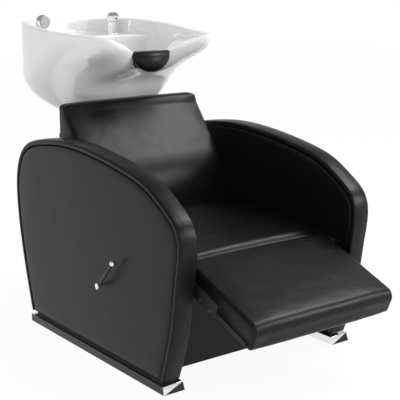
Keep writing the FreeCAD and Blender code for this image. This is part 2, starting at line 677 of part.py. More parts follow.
def legRest():
    boardTop = size("boardThickness") - size("legBelow") + size("slack")
    nose = size("legLipSetback") - size("legLength")
    lipRear = nose + size("legLip")
    points = ((nose, -size("legBelow")), (lipRear, -size("legBelow")), (lipRear, boardTop),
              (size("legHeelUnder"), boardTop), (size("legHeel"), size("legAbove")),
              (-size("legLength"), size("legAbove")))
    smallRound = size("legLipSetback") / 2
    radii = (size("legNoseRound") / 2, smallRound, size("slack"), size("legUnderRound"),
             size("legHeelRound"), size("legNoseRound"))
    softness = (0, 0, 0, 0, 1, 0.5)
    shape = cushion(points, radii, softness, size("legHalfWidth"), size("legDrawIn"),
                    size("legCrown"))
    node("legrest_cushion", onLegRest(solidFeature("LegCushion", shape)))
    edge = "(legHalfWidth + slack)"
    board = box("LegBoardBlank", f"2 * {edge}",
                "legLength - legLipSetback - legLip - slack - legBoardStart", "boardThickness",
                f"-{edge}", "legLipSetback + legLip + slack - legLength", "-legBelow")
    disc = rod("PlateDisc", "legPlateRound", "legPlateThickness", edge, "0", "0", "X")
    upper = box("PlateUpper", "legPlateThickness", "legPlateReach", "legPlateRound + legPinRadius",
                edge, "-legPlateReach", "-legPlateRound")
    lower = box("PlateLower", "legPlateThickness", "legPlateReach - legBoardStart",
                "legBelow - legPinRadius", edge, "-legPlateReach", "-legBelow")
    bore = rod("PlateBore", "legPinRadius + fitGap", "legPlateThickness", edge, "0", "0", "X")
    boardHoles = []
    plateHoles = []
    screws = []
    for place, share in (("Near", "/ 2"), ("Far", "* 5 / 6")):
        y = "-legPlateReach " + share
        z = "boardThickness / 2 - legBelow"
        boardHoles.append(rod("LegBoardHole" + place, "screwRadius + fitGap", "screwLength",
                              f"{edge} - screwLength", y, z, "X"))
        plateHoles.append(rod("LegPlateHole" + place, "screwRadius + fitGap",
                              "legPlateThickness", edge, y, z, "X"))
        shank = rod("LegShank" + place, "screwRadius", "screwLength + legPlateThickness",
                    f"{edge} - screwLength", y, z, "X")
        head = rod("LegHead" + place, "screwHeadRadius", "screwHeadHeight",
                   f"{edge} + legPlateThickness", y, z, "X")
        screws.append(fuse("LegScrew" + place, shank, head))
    boardHoles += [mirrored(f"LegBoardHoleLeft{number}", hole)
                   for number, hole in enumerate(boardHoles)]
    screws += [mirrored(f"LegScrewLeft{number}", screw) for number, screw in enumerate(screws)]
    plate = cut("LegPlate", fuse("LegPlateBlank", disc, upper, lower), bore, *plateHoles)
    pin = rod("LegPin", "legPinRadius", "legPinReach + legPlateThickness", edge, "0", "0", "X")
    node("legrest_board", onLegRest(cut("LegBoard", board, *boardHoles)))
    node("legrest_hinge_plates",
         onLegRest(group("LegPlates", (plate, mirrored("LegPlateLeft", plate)))))
    node("legrest_hinge_pins", onLegRest(group("LegPins", (pin, mirrored("LegPinLeft", pin)))))
    node("legrest_screws", onLegRest(group("LegScrews", screws)))


# Hinge blocks that carry the leg rest's pins, bolted sideways to the arms.
def hingeBlocks():
    width = "(armMiddle - armWidth / 2 - slack - blockInner)"
    block = padded("BlockBlank", "YZ_Plane", (
        ("-blockFront", "-blockBelow"), ("blockRear", "-blockBelow"), ("blockRear", "blockAbove"),
        ("-blockFront", "blockAbove")), width)
    move(block, "blockInner", "legHingeY - setback", "legHingeZ")
    bore = rod("BlockBore", "legPinRadius + legRunning", width, "blockInner",
               "legHingeY - setback", "legHingeZ", "X")
    sinks = []
    bolts = []
    for place, rise in (("Low", "- blockBoltRise"), ("High", "+ blockBoltRise")):
        z = f"legHingeZ {rise}"
        sinks.append(rod("BlockSink" + place, "blockBoltHeadRadius + fitGap",
                         "blockBoltHead + slack", "blockInner", "legHingeY - setback", z, "X"))
        head = rod("BlockHead" + place, "blockBoltHeadRadius", "blockBoltHead",
                   "blockInner + slack", "legHingeY - setback", z, "X")
        shank = rod("BlockShank" + place, "blockBoltRadius", "blockBoltLength",
                    "blockInner + slack", "legHingeY - setback", z, "X")
        bolts.append(fuse("BlockBolt" + place, head, shank))
    whole = cut("HingeBlock", block, bore, *sinks,
                *blockDrills("BlockDrill", "blockBoltRadius + fitGap"))
    node("legrest_hinge_blocks",
         group("HingeBlocks", (whole, mirrored("HingeBlockLeft", whole))))
    bolts += [mirrored(f"BlockBoltLeft{number}", bolt) for number, bolt in enumerate(bolts)]
    return bolts


# Release lever in its own frame: the shaft along X at the origin, the lever upwards.
def onLever(item):
    item.Placement.Rotation = Rotation(Vector(1, 0, 0), size("leverLeanAngle"))
    return move(item, "0", "leverY - setback", "leverZ")


def lever():
    face = "(armMiddle + armWidth / 2)"
    hubEnd = f"-{face} - leverStandOff - leverHubLength"
    shaft = rod("LeverShaftBar", "leverRadius",
                f"{face} + leverStandOff + leverHubLength - leverInner", hubEnd, "0", "0", "X")
    hub = rod("LeverHub", "leverHubRadius", "leverHubLength", hubEnd, "0", "0", "X")
    middle = f"{hubEnd} + leverHubLength / 2"
    seatHole = rod("LeverSeat", "leverRodRadius + fitGap", "leverHubRadius", middle, "0",
                   "leverRodSeat")
    node("lever_shaft", onLever(cut("LeverShaft", fuse("LeverShaftBlank", shaft, hub), seatHole)))
    arm = rod("LeverRod", "leverRodRadius", "leverRodLength", middle, "0", "leverRodSeat")
    node("lever_rod", onLever(group("LeverRodPlaced", [arm])))
    ball = doc.addObject("Part::Sphere", "KnobBall")
    bind(ball, {"Radius": "leverKnobRadius"})
    move(ball, middle, "0", "leverRodSeat + leverRodLength - leverKnobDepth + leverKnobRadius")
    socket = rod("KnobSocket", "leverRodRadius + fitGap", "leverRodLength", middle, "0",
                 "leverRodSeat")
    node("lever_knob", onLever(cut("LeverKnob", ball, socket)))
    crank = box("CrankBar", "crankThickness", "crankWidth", "crankReach + crankWidth / 2",
                "-leverInner - crankThickness", "-crankWidth / 2", "-crankReach")
    crankBore = rod("CrankBore", "leverRadius + fitGap", "crankThickness",
                    "-leverInner - crankThickness", "0", "0", "X")
    node("lever_crank", onLever(cut("LeverCrank", crank, crankBore)))
    bushInner = "leverRadius + leverRunning"
    node("lever_bush", tube("LeverBush", f"{bushInner} + leverBushWall", bushInner, "coreWidth",
                            "-armMiddle - coreWidth / 2", "leverY - setback", "leverZ", "X"))
    springInner = "leverRadius + slack"
    padFace = "(armMiddle - armWidth / 2 - slack)"
    node("lever_return_spring",
         tube("LeverSpring", f"{springInner} + springWall", springInner,
              f"{padFace} - leverInner - crankThickness - slack", f"-{padFace}",
              "leverY - setback", "leverZ", "X"))


# Pedestal behind the seat: a floor plate, two square posts and a bracket for the pipes.
def pedestal():
    plate = box("FloorPlateBlank", "2 * shroudHalfWidth", "2 * shroudHalfDepth",
                "plateThickness", "-shroudHalfWidth", "-shroudHalfDepth", "0")
    tie = box("TieBar", "2 * railInner", "tieDepth", "plateThickness", "-railInner",
              "-shroudHalfDepth - tieDepth", "0")
    holes = [rod("Anchor" + place, "anchorRadius", "plateThickness", x, y, "0")
             for place, x, y in (("RearRight", "anchorX", "anchorY"),
                                 ("RearLeft", "-anchorX", "anchorY"),
                                 ("FrontLeft", "-anchorX", "-anchorY"),
                                 ("FrontRight", "anchorX", "-anchorY"))]
    holes.append(rod("WasteExit", "wasteBore", "plateThickness", "0", "wasteShift", "0"))
    holes += [rod("Inlet" + side, "supplyBore", "plateThickness", x, "supplyY", "0")
              for side, x in (("Left", "-supplyX"), ("Right", "supplyX"))]
    node("floor_plate", cut("FloorPlate", fuse("FloorPlateWelded", plate, tie), *holes))
    outside = box("PostOutside", "postSize", "postSize", "postTop - plateThickness",
                  "postMiddle - postSize / 2", "-postSize / 2", "plateThickness")
    inside = box("PostInside", "postSize - 2 * postWall", "postSize - 2 * postWall",
                 "postTop - plateThickness - postWall", "postMiddle - postSize / 2 + postWall",
                 "postWall - postSize / 2", "plateThickness")
    bore = rod("PostBore", "pivotRadius + fitGap", "postSize", "postMiddle - postSize / 2", "0",
               "tiltHeight", "X")
    post = cut("Post", outside, inside, bore)
    node("pedestal_posts", group("Posts", (post, mirrored("PostLeft", post))))
    pin = rod("PivotShank", "pivotRadius", "postMiddle + postSize / 2 - pivotInner",
              "pivotInner", "0", "tiltHeight", "X")
    head = rod("PivotHead", "pivotHeadRadius", "pivotHeadHeight", "postMiddle + postSize / 2",
               "0", "tiltHeight", "X")
    pivot = fuse("Pivot", pin, head)
    node("pivot_bolts", group("Pivots", (pivot, mirrored("PivotLeft", pivot))))
    washer = tube("Washer", "washerRadius", "pivotRadius + pivotRunning",
                  "postMiddle - postSize / 2 - earOuter - 2 * fitGap", "earOuter + fitGap", "0",
                  "tiltHeight", "X")
    node("friction_washers", group("Washers", (washer, mirrored("WasherLeft", washer))))
    bracket = box("PipeBracketBlank", "2 * strapHalfWidth",
                  "shroudHalfDepth - shroudWall - plateGap - postSize / 2", "strapThickness",
                  "-strapHalfWidth", "postSize / 2", "strapHeight")
    bracketHoles = [rod("StrapHole" + side, "supplyRadius + fitGap", "strapThickness", x,
                        "supplyY", "strapHeight")
                    for side, x in (("Left", "-supplyX"), ("Right", "supplyX"))]
    bracketHoles.append(rod("StrapWasteWay", "wasteRadius + plateGap", "strapThickness", "0",
                            "0", "strapHeight"))
    node("pipe_bracket", cut("PipeBracket", bracket, *bracketHoles))


# Sheet shroud round the pedestal, with a service window and its screwed panel at the back.
def shroud():
    outside = box("ShroudOutside", "2 * shroudHalfWidth", "2 * shroudHalfDepth",
                  "shroudTop - plateThickness", "-shroudHalfWidth", "-shroudHalfDepth",
                  "plateThickness")
    inside = box("ShroudInside", "2 * (shroudHalfWidth - shroudWall)",
                 "2 * (shroudHalfDepth - shroudWall)", "shroudTop - plateThickness",
                 "shroudWall - shroudHalfWidth", "shroudWall - shroudHalfDepth",
                 "plateThickness")
    window = box("ShroudWindow", "panelWidth - 2 * panelLap", "2 * shroudWall",
                 "panelHeight - 2 * panelLap", "panelLap - panelWidth / 2",
                 "shroudHalfDepth - 2 * shroudWall", "panelBottom + panelLap")
    panel = box("PanelBlank", "panelWidth", "panelThickness", "panelHeight", "-panelWidth / 2",
                "shroudHalfDepth", "panelBottom")
    corners = [(f"{side}{level}", f"{sign} (panelWidth - panelLap) / 2", z)
               for side, sign in (("Left", "-"), ("Right", ""))
               for level, z in (("Low", "panelBottom + panelLap / 2"),
                                ("High", "panelBottom + panelHeight - panelLap / 2"))]
    wallHoles = [rod("WallHole" + place, "screwRadius + fitGap", "shroudWall", x,
                     "shroudHalfDepth - shroudWall", z, "Y") for place, x, z in corners]
    panelHoles = [rod("PanelHole" + place, "screwRadius + fitGap", "panelThickness", x,
                      "shroudHalfDepth", z, "Y") for place, x, z in corners]
    screws = [fuse("PanelScrew" + place,
                   rod("PanelShank" + place, "screwRadius", "screwLength", x,
                       "shroudHalfDepth + panelThickness - screwLength", z, "Y"),
                   rod("PanelHead" + place, "screwHeadRadius", "screwHeadHeight", x,
                       "shroudHalfDepth + panelThickness", z, "Y"))
              for place, x, z in corners]
    node("pedestal_shroud", cut("Shroud", outside, inside, window, *wallHoles))
    node("access_panel", cut("Panel", panel, *panelHoles))
    node("panel_screws", group("PanelScrews", screws))


# Water and waste pipes inside the pedestal.
def pipes():
    supplies = [tube(name, "supplyRadius", "supplyBore", "supplyTop - plateThickness", x,
                     "supplyY", "plateThickness")
                for name, x in (("HotSupply", "-supplyX"), ("ColdSupply", "supplyX"))]
    node("supply_pipes", group("Supplies", supplies))
    cuffInner = "tailRadius + cuffGap"
    cuff = turned("WasteCuff", (
        ("wasteBore", "cuffBottom"), (f"{cuffInner} + cuffWall", "cuffBottom"),
        (f"{cuffInner} + cuffWall", "cuffTop"), (cuffInner, "cuffTop"),
        (cuffInner, "cuffBottom + cuffWall"), ("wasteBore", "cuffBottom + cuffWall")))
    drop = size("cuffBottom") - size("plateThickness")
    shift = size("wasteShift")
    upperShare = 0.62
    lowerShare = 0.24
    route = [Vector(0, 0, size("cuffBottom")),
             Vector(0, 0, size("plateThickness") + upperShare * drop),
             Vector(0, shift, size("plateThickness") + lowerShare * drop),
             Vector(0, shift, size("plateThickness"))]
    bent = solidFeature("WasteBend", alongRoute(route, size("wasteRadius"), size("wasteBore")))
    node("waste_hose", fuse("WasteHose", cuff, bent))


# Tilting cradle: a round plate under the basin's foot with two ears on the pivot bolts.
def cradle():
    plateBottom = "(footHeight - cradleThickness)"
    plate = rod("CradlePlate", "cradleRadius", "cradleThickness", "0", "0", plateBottom)
    ear = box("CradleEar", "earThickness", "earDepth",
              f"{plateBottom} - tiltHeight + earBelow", "earOuter - earThickness",
              "-earDepth / 2", "tiltHeight - earBelow")
    wasteWay = rod("CradleWaste", "wasteHole", "cradleThickness", "0", "0", plateBottom)
    bore = rod("EarBore", "pivotRadius + pivotRunning", "2 * earOuter", "-earOuter", "0",
               "tiltHeight", "X")
    node("basin_cradle", cut("Cradle", fuse("CradleBlank", plate, ear,
                                            mirrored("CradleEarLeft", ear)), wasteWay, bore))
    node("waste_outlet", turned("WasteOutlet", (
        ("tailRadius - tailWall", "tailBottom"), ("tailRadius", "tailBottom"),
        ("tailRadius", "bowlBottom"), ("flangeRadius", "bowlBottom"),
        ("flangeRadius", "bowlBottom + flangeHeight"),
        ("tailRadius - tailWall", "bowlBottom + flangeHeight"))))
    disc = rod("StrainerDisc", "strainerRadius", "strainerThickness", "0", "0",
               "bowlBottom + flangeHeight")
    drain = rod("StrainerHole", "strainerHole", "strainerThickness", "strainerRing", "0",
                "bowlBottom + flangeHeight")
    ring = []
    count = 8
    for number in range(count):
        turnedHole = group(f"StrainerHole{number}", [drain])
        turnedHole.Placement = Placement(Vector(), Rotation(Vector(0, 0, 1), 360 * number / count))
        ring.append(turnedHole)
    node("waste_strainer", cut("Strainer", disc, *ring))
    node("waste_nut", tube("WasteNut", "nutRadius", "tailRadius + fitGap", "nutHeight", "0", "0",
                           f"{plateBottom} - nutHeight"))


def basinPoint(shareX, shareY, z):
    reach = size("basinRear") if shareY > 0 else size("basinFront")
    return Vector(shareX * size("basinHalfWidth"), shareY * reach, z)


def basinWire(level, wall, front):
    """One closed section of the basin's outside: a curve round the back, one across the front."""
    z = size("footHeight") + level * size("basinHeight")
    right = [basinPoint(x, y, z) for x, y in wall]
    left = [Vector(-point.x, point.y, z) for point in reversed(right[:-1])]
    back = Part.BSplineCurve()
    back.interpolate(right + left)
    rightFront = [basinPoint(x, y, z) for x, y in front]
    leftFront = [Vector(-point.x, point.y, z) for point in rightFront[:-1]]
    across = Part.BSplineCurve()
    across.interpolate([left[-1]] + leftFront + rightFront[::-1] + [right[0]])
    return Part.Wire([back.toShape(), across.toShape()])


def insetRim(inset, z):
    """The rim's plan outline moved inwards, as one closed curve."""
    level, wall, front = basinLevelShares[-1]
    half = [basinPoint(x, y, z) for x, y in reversed(front)]
    half += [basinPoint(x, y, z) for x, y in wall]
    loop = half + [Vector(-point.x, point.y, z) for point in reversed(half[1:-1])]
    moved = []
    for index, point in enumerate(loop):
        along = loop[(index + 1) % len(loop)] - loop[index - 1]
        moved.append(point + Vector(-along.y, along.x, 0).normalize() * inset)
    curve = Part.BSplineCurve()
    curve.interpolate(moved, PeriodicFlag=True)
    return Part.Wire([curve.toShape()])


def bowlWire(level, halfWidth, front, rear):
    z = size("bowlBottom") + level * (size("deckHeight") - size("bowlBottom"))
    squareness = 0.85
    count = 16
    points = []
    for number in range(count):
        angle = 2 * math.pi * number / count
        across = math.copysign(abs(math.cos(angle)) ** squareness, math.cos(angle))
        along = math.copysign(abs(math.sin(angle)) ** squareness, math.sin(angle))
        points.append(basinPoint(halfWidth * across, (rear if along > 0 else -front) * along, z))
    curve = Part.BSplineCurve()
    curve.interpolate(points, PeriodicFlag=True)
    return Part.Wire([curve.toShape()])


def prism(points, direction):
    return Part.Face(Part.makePolygon(list(points) + [points[0]])).extrude(direction)


# Basin: a shell with a high rim, a deck for the taps, a deep bowl, a neck notch between two
# wings, and a service space open from below under the deck.
def basin():
    top = size("footHeight") + size("basinHeight")
    reach = size("basinHalfWidth") + size("overrun")
    body = Part.makeLoft([basinWire(*level) for level in basinLevelShares], True, True)
    crest = [basinPoint(0, y, size("footHeight") + z * size("basinHeight"))
             for y, z in crestShares]
    crest[0].y -= size("overrun")
    crest[-1].y += size("overrun")
    line = Part.BSplineCurve()
    line.interpolate(crest)
    over = [crest[-1], Vector(0, crest[-1].y, top + size("overrun")),
            Vector(0, crest[0].y, top + size("overrun")), crest[0]]
    edges = [line.toShape()] + [Part.LineSegment(a, b).toShape() for a, b in zip(over, over[1:])]
    crestFace = Part.Face(Part.Wire(edges))
    crestFace.translate(Vector(-reach, 0, 0))
    tools = [crestFace.extrude(Vector(2 * reach, 0, 0))]
    frontEdge = -size("basinFront") - size("overrun")
    land = size("notchRadius") + size("notchLand")
    dip = [Vector(x, frontEdge, z) for x, z in (
        (-size("wingInner"), size("wingHeight")), (-land, size("notchHeight")),
        (land, size("notchHeight")), (size("wingInner"), size("wingHeight")),
        (size("wingInner"), top), (-size("wingInner"), top))]
    tools.append(prism(dip, Vector(0, -size("dipFront") - frontEdge, 0)))
    recess = Part.Face(insetRim(size("rimWall"), size("deckHeight")))
    tools.append(recess.extrude(Vector(0, 0, top - size("deckHeight"))))
    tools.append(Part.makeLoft([bowlWire(*level) for level in bowlLevelShares], True, True))
    tools.append(Part.makeCylinder(size("notchRadius"), -size("dipFront") - frontEdge,
                                   Vector(0, frontEdge, size("notchHeight")), Vector(0, 1, 0)))
    below = size("footHeight") - size("overrun")
    space = [Vector(x, y, below) for x, y in (
        (-size("cavityHalfWidth"), size("cavityFront")),
        (size("cavityHalfWidth"), size("cavityFront")),
        (size("cavityHalfWidth"), size("cavityShoulder")),
        (size("cavityRearHalfWidth"), size("cavityRear")),
        (-size("cavityRearHalfWidth"), size("cavityRear")),
        (-size("cavityHalfWidth"), size("cavityShoulder")))]
    ceiling = size("deckHeight") - size("deckThickness")
    tools.append(prism(space, Vector(0, 0, ceiling - below)))
    tools.append(Part.makeCylinder(size("wasteHole"), size("bowlBottom") - below + size("slack"),
                                   Vector(0, 0, below)))
    for side in (-1, 1):
        tools.append(Part.makeCylinder(size("tapHole"), size("deckThickness") + size("slack"),
                                       Vector(side * size("tapX"), size("tapY"), ceiling)))
    for tool in tools:
        body = body.cut(tool)
    print("basin solids", len(body.Solids), "volume", round(body.Volume))
    node("basin", solidFeature("Basin", body))


# Neck rest: a D-shaped rubber block that hangs in the notch, rounded towards both ends.
def neckRest():
    rearY = -size("neckRear")
    frontY = rearY - size("neckLength")
    roundShares = ((0, 1), (0.134, 0.5), (0.5, 0.134), (1, 0))
    stations = [(frontY + along * size("neckRound"), inwards) for along, inwards in roundShares]
    stations += [(rearY - along * size("neckRound"), inwards)
                 for along, inwards in reversed(roundShares)]
    wires = []
    for y, inwards in stations:
        radius = size("notchRadius") - size("neckGap") - inwards * size("neckRound")
        top = size("neckTop") - inwards * size("neckRound")
        drop = size("notchHeight") - top
        half = math.sqrt(radius ** 2 - drop ** 2)
        right = Vector(half, y, top)
        left = Vector(-half, y, top)
        bottom = Vector(0, y, size("notchHeight") - radius)
        slant = (math.asin(drop / radius) + math.pi / 2) / 2
        side = Vector(radius * math.cos(slant), y, size("notchHeight") - radius * math.sin(slant))
        otherSide = Vector(-side.x, y, side.z)
        wires.append(Part.Wire([Part.Arc(right, side, bottom).toShape(),
                                Part.Arc(bottom, otherSide, left).toShape(),
                                Part.LineSegment(left, right).toShape()]))
    node("neck_rest", solidFeature("NeckRest", Part.makeLoft(wires, True, True)))


# Mixer on the far side of the deck and the hand spray's holder on the near side.
def taps():
    mixer = turned("Mixer", (
        ("0", "shankBottom"), ("shankRadius", "shankBottom"), ("shankRadius", "deckHeight"),
        ("mixerRadius", "deckHeight"), ("mixerRadius", "mixerTop"),
        ("spindleRadius + spindleRunning", "mixerTop"),
        ("spindleRadius + spindleRunning", "spindleBottom"), ("0", "spindleBottom")))
    node("mixer_body", move(mixer, "tapX", "tapY"))
    node("mixer_spindle", rod("Spindle", "spindleRadius",
                              "handleBottom + handleSeat - spindleBottom - slack", "tapX", "tapY",
                              "spindleBottom + slack"))
    seatZ = "handleBottom + handleSeat"
    cap = turned("HandleBlank", (
        ("0", seatZ), ("spindleRadius + fitGap", seatZ),
        ("spindleRadius + fitGap", "handleBottom"), ("mixerRadius", "handleBottom"),
        ("mixerRadius", "handleShoulder"), ("handleCrown", "handleTop"), ("0", "handleTop")))
    move(cap, "tapX", "tapY")
    dotZ = "(handleBottom + handleShoulder) / 2"
    dotY = "tapY - mixerRadius"
    pocket = rod("DotPocket", "dotRadius + fitGap", "dotThickness", "tapX", dotY, dotZ, "Y")
    node("mixer_handle", cut("Handle", cap, pocket))
    node("mixer_dot", rod("Dot", "dotRadius", "dotThickness", "tapX", f"{dotY} - fitGap", dotZ,
                          "Y"))
    ceiling = "(deckHeight - deckThickness)"
    nuts = [tube(name, "tapNutRadius", "shankRadius + fitGap", "tapNutHeight", x, "tapY",
                 f"{ceiling} - tapNutHeight")
            for name, x in (("MixerNut", "tapX"), ("SprayNut", "-tapX"))]
    node("tap_nuts", group("TapNuts", nuts))
    hoseWay = "sprayTailRadius + stemRunning"
    stemWay = "stemRadius + stemRunning"
    holder = turned("Holder", (
        (hoseWay, "shankBottom"), ("shankRadius", "shankBottom"), ("shankRadius", "deckHeight"),
        ("holderRadius", "deckHeight"), ("holderRadius", "holderTop"), (stemWay, "holderTop"),
        (stemWay, "stemBottom"), (hoseWay, "stemBottom")))
    node("spray_holder", move(holder, "-tapX", "tapY"))


def handSpray():
    stem = rod("SprayStem", "stemRadius", "sprayHeadZ - stemBottom", "0", "0", "stemBottom")
    ball = doc.addObject("Part::Sphere", "SprayBall")
    bind(ball, {"Radius": "sprayHeadRadius"})
    move(ball, "0", "0", "sprayHeadZ")
    flat = box("SprayFlat", "2 * sprayHeadRadius", "sprayHeadRadius", "2 * sprayHeadRadius",
               "-sprayHeadRadius", "-sprayCut - sprayHeadRadius",
               "sprayHeadZ - sprayHeadRadius")
    head = cut("SprayHead", fuse("SprayBlank", stem, ball), flat)
    face = rod("SprayFace", "sprayFaceRadius", "sprayFaceThickness", "0",
               "-sprayCut - sprayFaceThickness", "sprayHeadZ", "Y")
    tail = rod("SprayTail", "sprayTailRadius", "sprayTail", "0", "0", "stemBottom - sprayTail")
    for label, name, item in (("hand_spray", "HandSpray", head), ("spray_face", "Face", face),
                              ("spray_hose_end", "HoseEnd", tail)):
        whole = group(name, [item])
        whole.Placement = Placement(Vector(), Rotation(Vector(0, 0, 1), size("sprayTurnAngle")))
        node(label, move(whole, "-tapX", "tapY"))


# Routes of the hoses under the deck, in the order in which they run: shares of the tap's X and Y
# and of the deck's height above the foot.
coldShares = (
    (1.049, 0.982, 0.876), (1.049, 0.982, 0.639), (0.817, 0.963, 0.438), (0.479, 0.939, 0.274),
    (0.31, 0.793, 0.091), (0.282, 0.555, -0.08),
)
hotShares = (
    (0.951, 0.982, 0.876), (0.951, 0.982, 0.639), (0.549, 1.049, 0.456), (0.0, 1.073, 0.383),
    (-0.254, 0.915, 0.182), (-0.282, 0.561, -0.08),
)
sprayShares = (
    (1.0, 1.055, 0.876), (1.0, 1.085, 0.712), (0.775, 1.25, 0.547), (0.352, 1.372, 0.456),
    (-0.352, 1.372, 0.456), (-0.775, 1.25, 0.547), (-1.0, 1.049, 0.712), (-1.0, 1.0, 0.861),
)


def hose(name, routeShares):
    foot = size("footHeight")
    rise = size("deckHeight") - foot
    route = [Vector(x * size("tapX"), y * size("tapY"), foot + z * rise)
             for x, y, z in routeShares]
    return solidFeature(name, alongRoute(route, size("hoseRadius"), size("hoseBore")))


def hoses():
    node("supply_tails", group("SupplyTails", (hose("ColdTail", coldShares),
                                               hose("HotTail", hotShares))))
    node("spray_hose", hose("SprayHose", sprayShares))


footRails()
arms()
seatFrame()
seat()
backrest()
legRest()
lever()
pedestal()
shroud()
pipes()
cradle()
basin()
neckRest()
taps()
handSpray()
hoses()
sheet.clear(f"B{len(aliases) + 2}")
doc.recompute()

for item in doc.Objects:
    if "Invalid" in item.State or "Error" in item.State:
        raise RuntimeError(f"{item.Name} failed: {item.State}")
for item in nodes:
    if item.Shape.isNull() or not item.Shape.isValid():
        raise RuntimeError(f"{item.Label} has no valid shape")
os.makedirs("parts", exist_ok=True)
for item in nodes:
    item.Shape.exportStep(f"parts/{item.Label}.step")
print(len(nodes), "sub-parts")
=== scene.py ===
import bpy
import bmesh
import json
import math
import numpy as np
from mathutils import Matrix, Vector, noise
from mathutils.bvhtree import BVHTree
from mathutils.geometry import delaunay_2d_cdt

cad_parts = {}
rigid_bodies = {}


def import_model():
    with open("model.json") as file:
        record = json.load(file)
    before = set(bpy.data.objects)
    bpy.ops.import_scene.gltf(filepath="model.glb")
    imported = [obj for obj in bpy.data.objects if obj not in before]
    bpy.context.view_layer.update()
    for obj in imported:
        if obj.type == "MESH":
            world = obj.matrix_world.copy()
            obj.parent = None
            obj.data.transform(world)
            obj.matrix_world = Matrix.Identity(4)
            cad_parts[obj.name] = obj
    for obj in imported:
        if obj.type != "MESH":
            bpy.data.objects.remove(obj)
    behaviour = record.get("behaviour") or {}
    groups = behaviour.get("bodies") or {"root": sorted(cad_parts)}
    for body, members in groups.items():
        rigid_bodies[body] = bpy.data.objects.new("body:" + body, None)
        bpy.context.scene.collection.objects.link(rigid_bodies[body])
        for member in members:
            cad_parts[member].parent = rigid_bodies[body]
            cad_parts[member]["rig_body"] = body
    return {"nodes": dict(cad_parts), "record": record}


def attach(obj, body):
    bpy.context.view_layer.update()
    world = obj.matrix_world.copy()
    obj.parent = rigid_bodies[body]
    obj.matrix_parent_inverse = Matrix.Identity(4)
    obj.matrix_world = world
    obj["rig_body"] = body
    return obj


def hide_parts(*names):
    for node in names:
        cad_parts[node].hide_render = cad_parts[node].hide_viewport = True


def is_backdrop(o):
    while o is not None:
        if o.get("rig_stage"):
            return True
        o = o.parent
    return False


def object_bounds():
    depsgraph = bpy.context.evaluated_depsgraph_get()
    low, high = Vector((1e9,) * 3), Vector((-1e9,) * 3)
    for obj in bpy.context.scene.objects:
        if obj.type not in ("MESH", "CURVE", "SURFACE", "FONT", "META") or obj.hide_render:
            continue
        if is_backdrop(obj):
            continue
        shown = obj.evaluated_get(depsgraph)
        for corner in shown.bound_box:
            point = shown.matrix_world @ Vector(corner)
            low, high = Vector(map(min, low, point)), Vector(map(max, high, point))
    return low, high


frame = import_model()
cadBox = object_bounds()
scene = bpy.context.scene
mm = 0.001


def linked(name, data):
    item = bpy.data.objects.new(name, data)
    scene.collection.objects.link(item)
    return item


# Camera at the photograph's viewing angle
def placeCamera():
    settings = {"lens": 92.01, "place": (-1.84525, -3.00282, 1.16734),
                "yaw": 0.643779, "pitch": 0.229488, "roll": -0.0013}
    data = bpy.data.cameras.new("studioCamera")
    data.lens = settings["lens"]
    data.sensor_width = 36
    data.clip_end = 50
    camera = linked("studioCamera", data)
    yaw, pitch = settings["yaw"], settings["pitch"]
    ahead = Vector((math.sin(yaw) * math.cos(pitch), math.cos(yaw) * math.cos(pitch),
                    -math.sin(pitch)))
    turn = ahead.to_track_quat("-Z", "Y").to_matrix()
    turn = turn @ Matrix.Rotation(settings["roll"], 3, "Z")
    camera.matrix_world = Matrix.Translation(settings["place"]) @ turn.to_4x4()
    scene.camera = camera


placeCamera()
print("camera ready")


# Shader maths: a socket that takes part in Python sums
class Value:
    def __init__(self, tree, socket):
        self.tree = tree
        self.socket = socket

    def out(self, name):
        return Value(self.tree, self.socket.node.outputs[name])

    def maths(self, operation, first, second=0.0):
        return self.tree.add("ShaderNodeMath", {0: first, 1: second}, operation=operation)

    def __add__(self, other):
        return self.maths("ADD", self, other)

    def __mul__(self, other):
        return self.maths("MULTIPLY", self, other)

    def atLeast(self, other):
        return self.maths("MAXIMUM", self, other)

    __radd__ = __add__
    __rmul__ = __mul__


# A tree whose nodes are added together with their settings and links
class Tree:
    def __init__(self, nodeTree):
        self.nodeTree = nodeTree
        nodeTree.nodes.clear()

    def add(self, kind, links=None, out=0, **settings):
        made = self.nodeTree.nodes.new(kind)
        for key, setting in settings.items():
            if key == "stops":
                ramp = made.color_ramp
                while len(ramp.elements) < len(setting):
                    ramp.elements.new(1.0)
                for element, (place, colour) in zip(ramp.elements, setting):
                    element.position = place
                    element.color = colour if len(colour) == 4 else (*colour, 1)
            else:
                setattr(made, key, setting)
        for key, given in (links or {}).items():
            if isinstance(given, Value):
                self.nodeTree.links.new(given.socket, made.inputs[key])
            else:
                made.inputs[key].default_value = given
        return Value(self, made.outputs[out]) if made.outputs else None


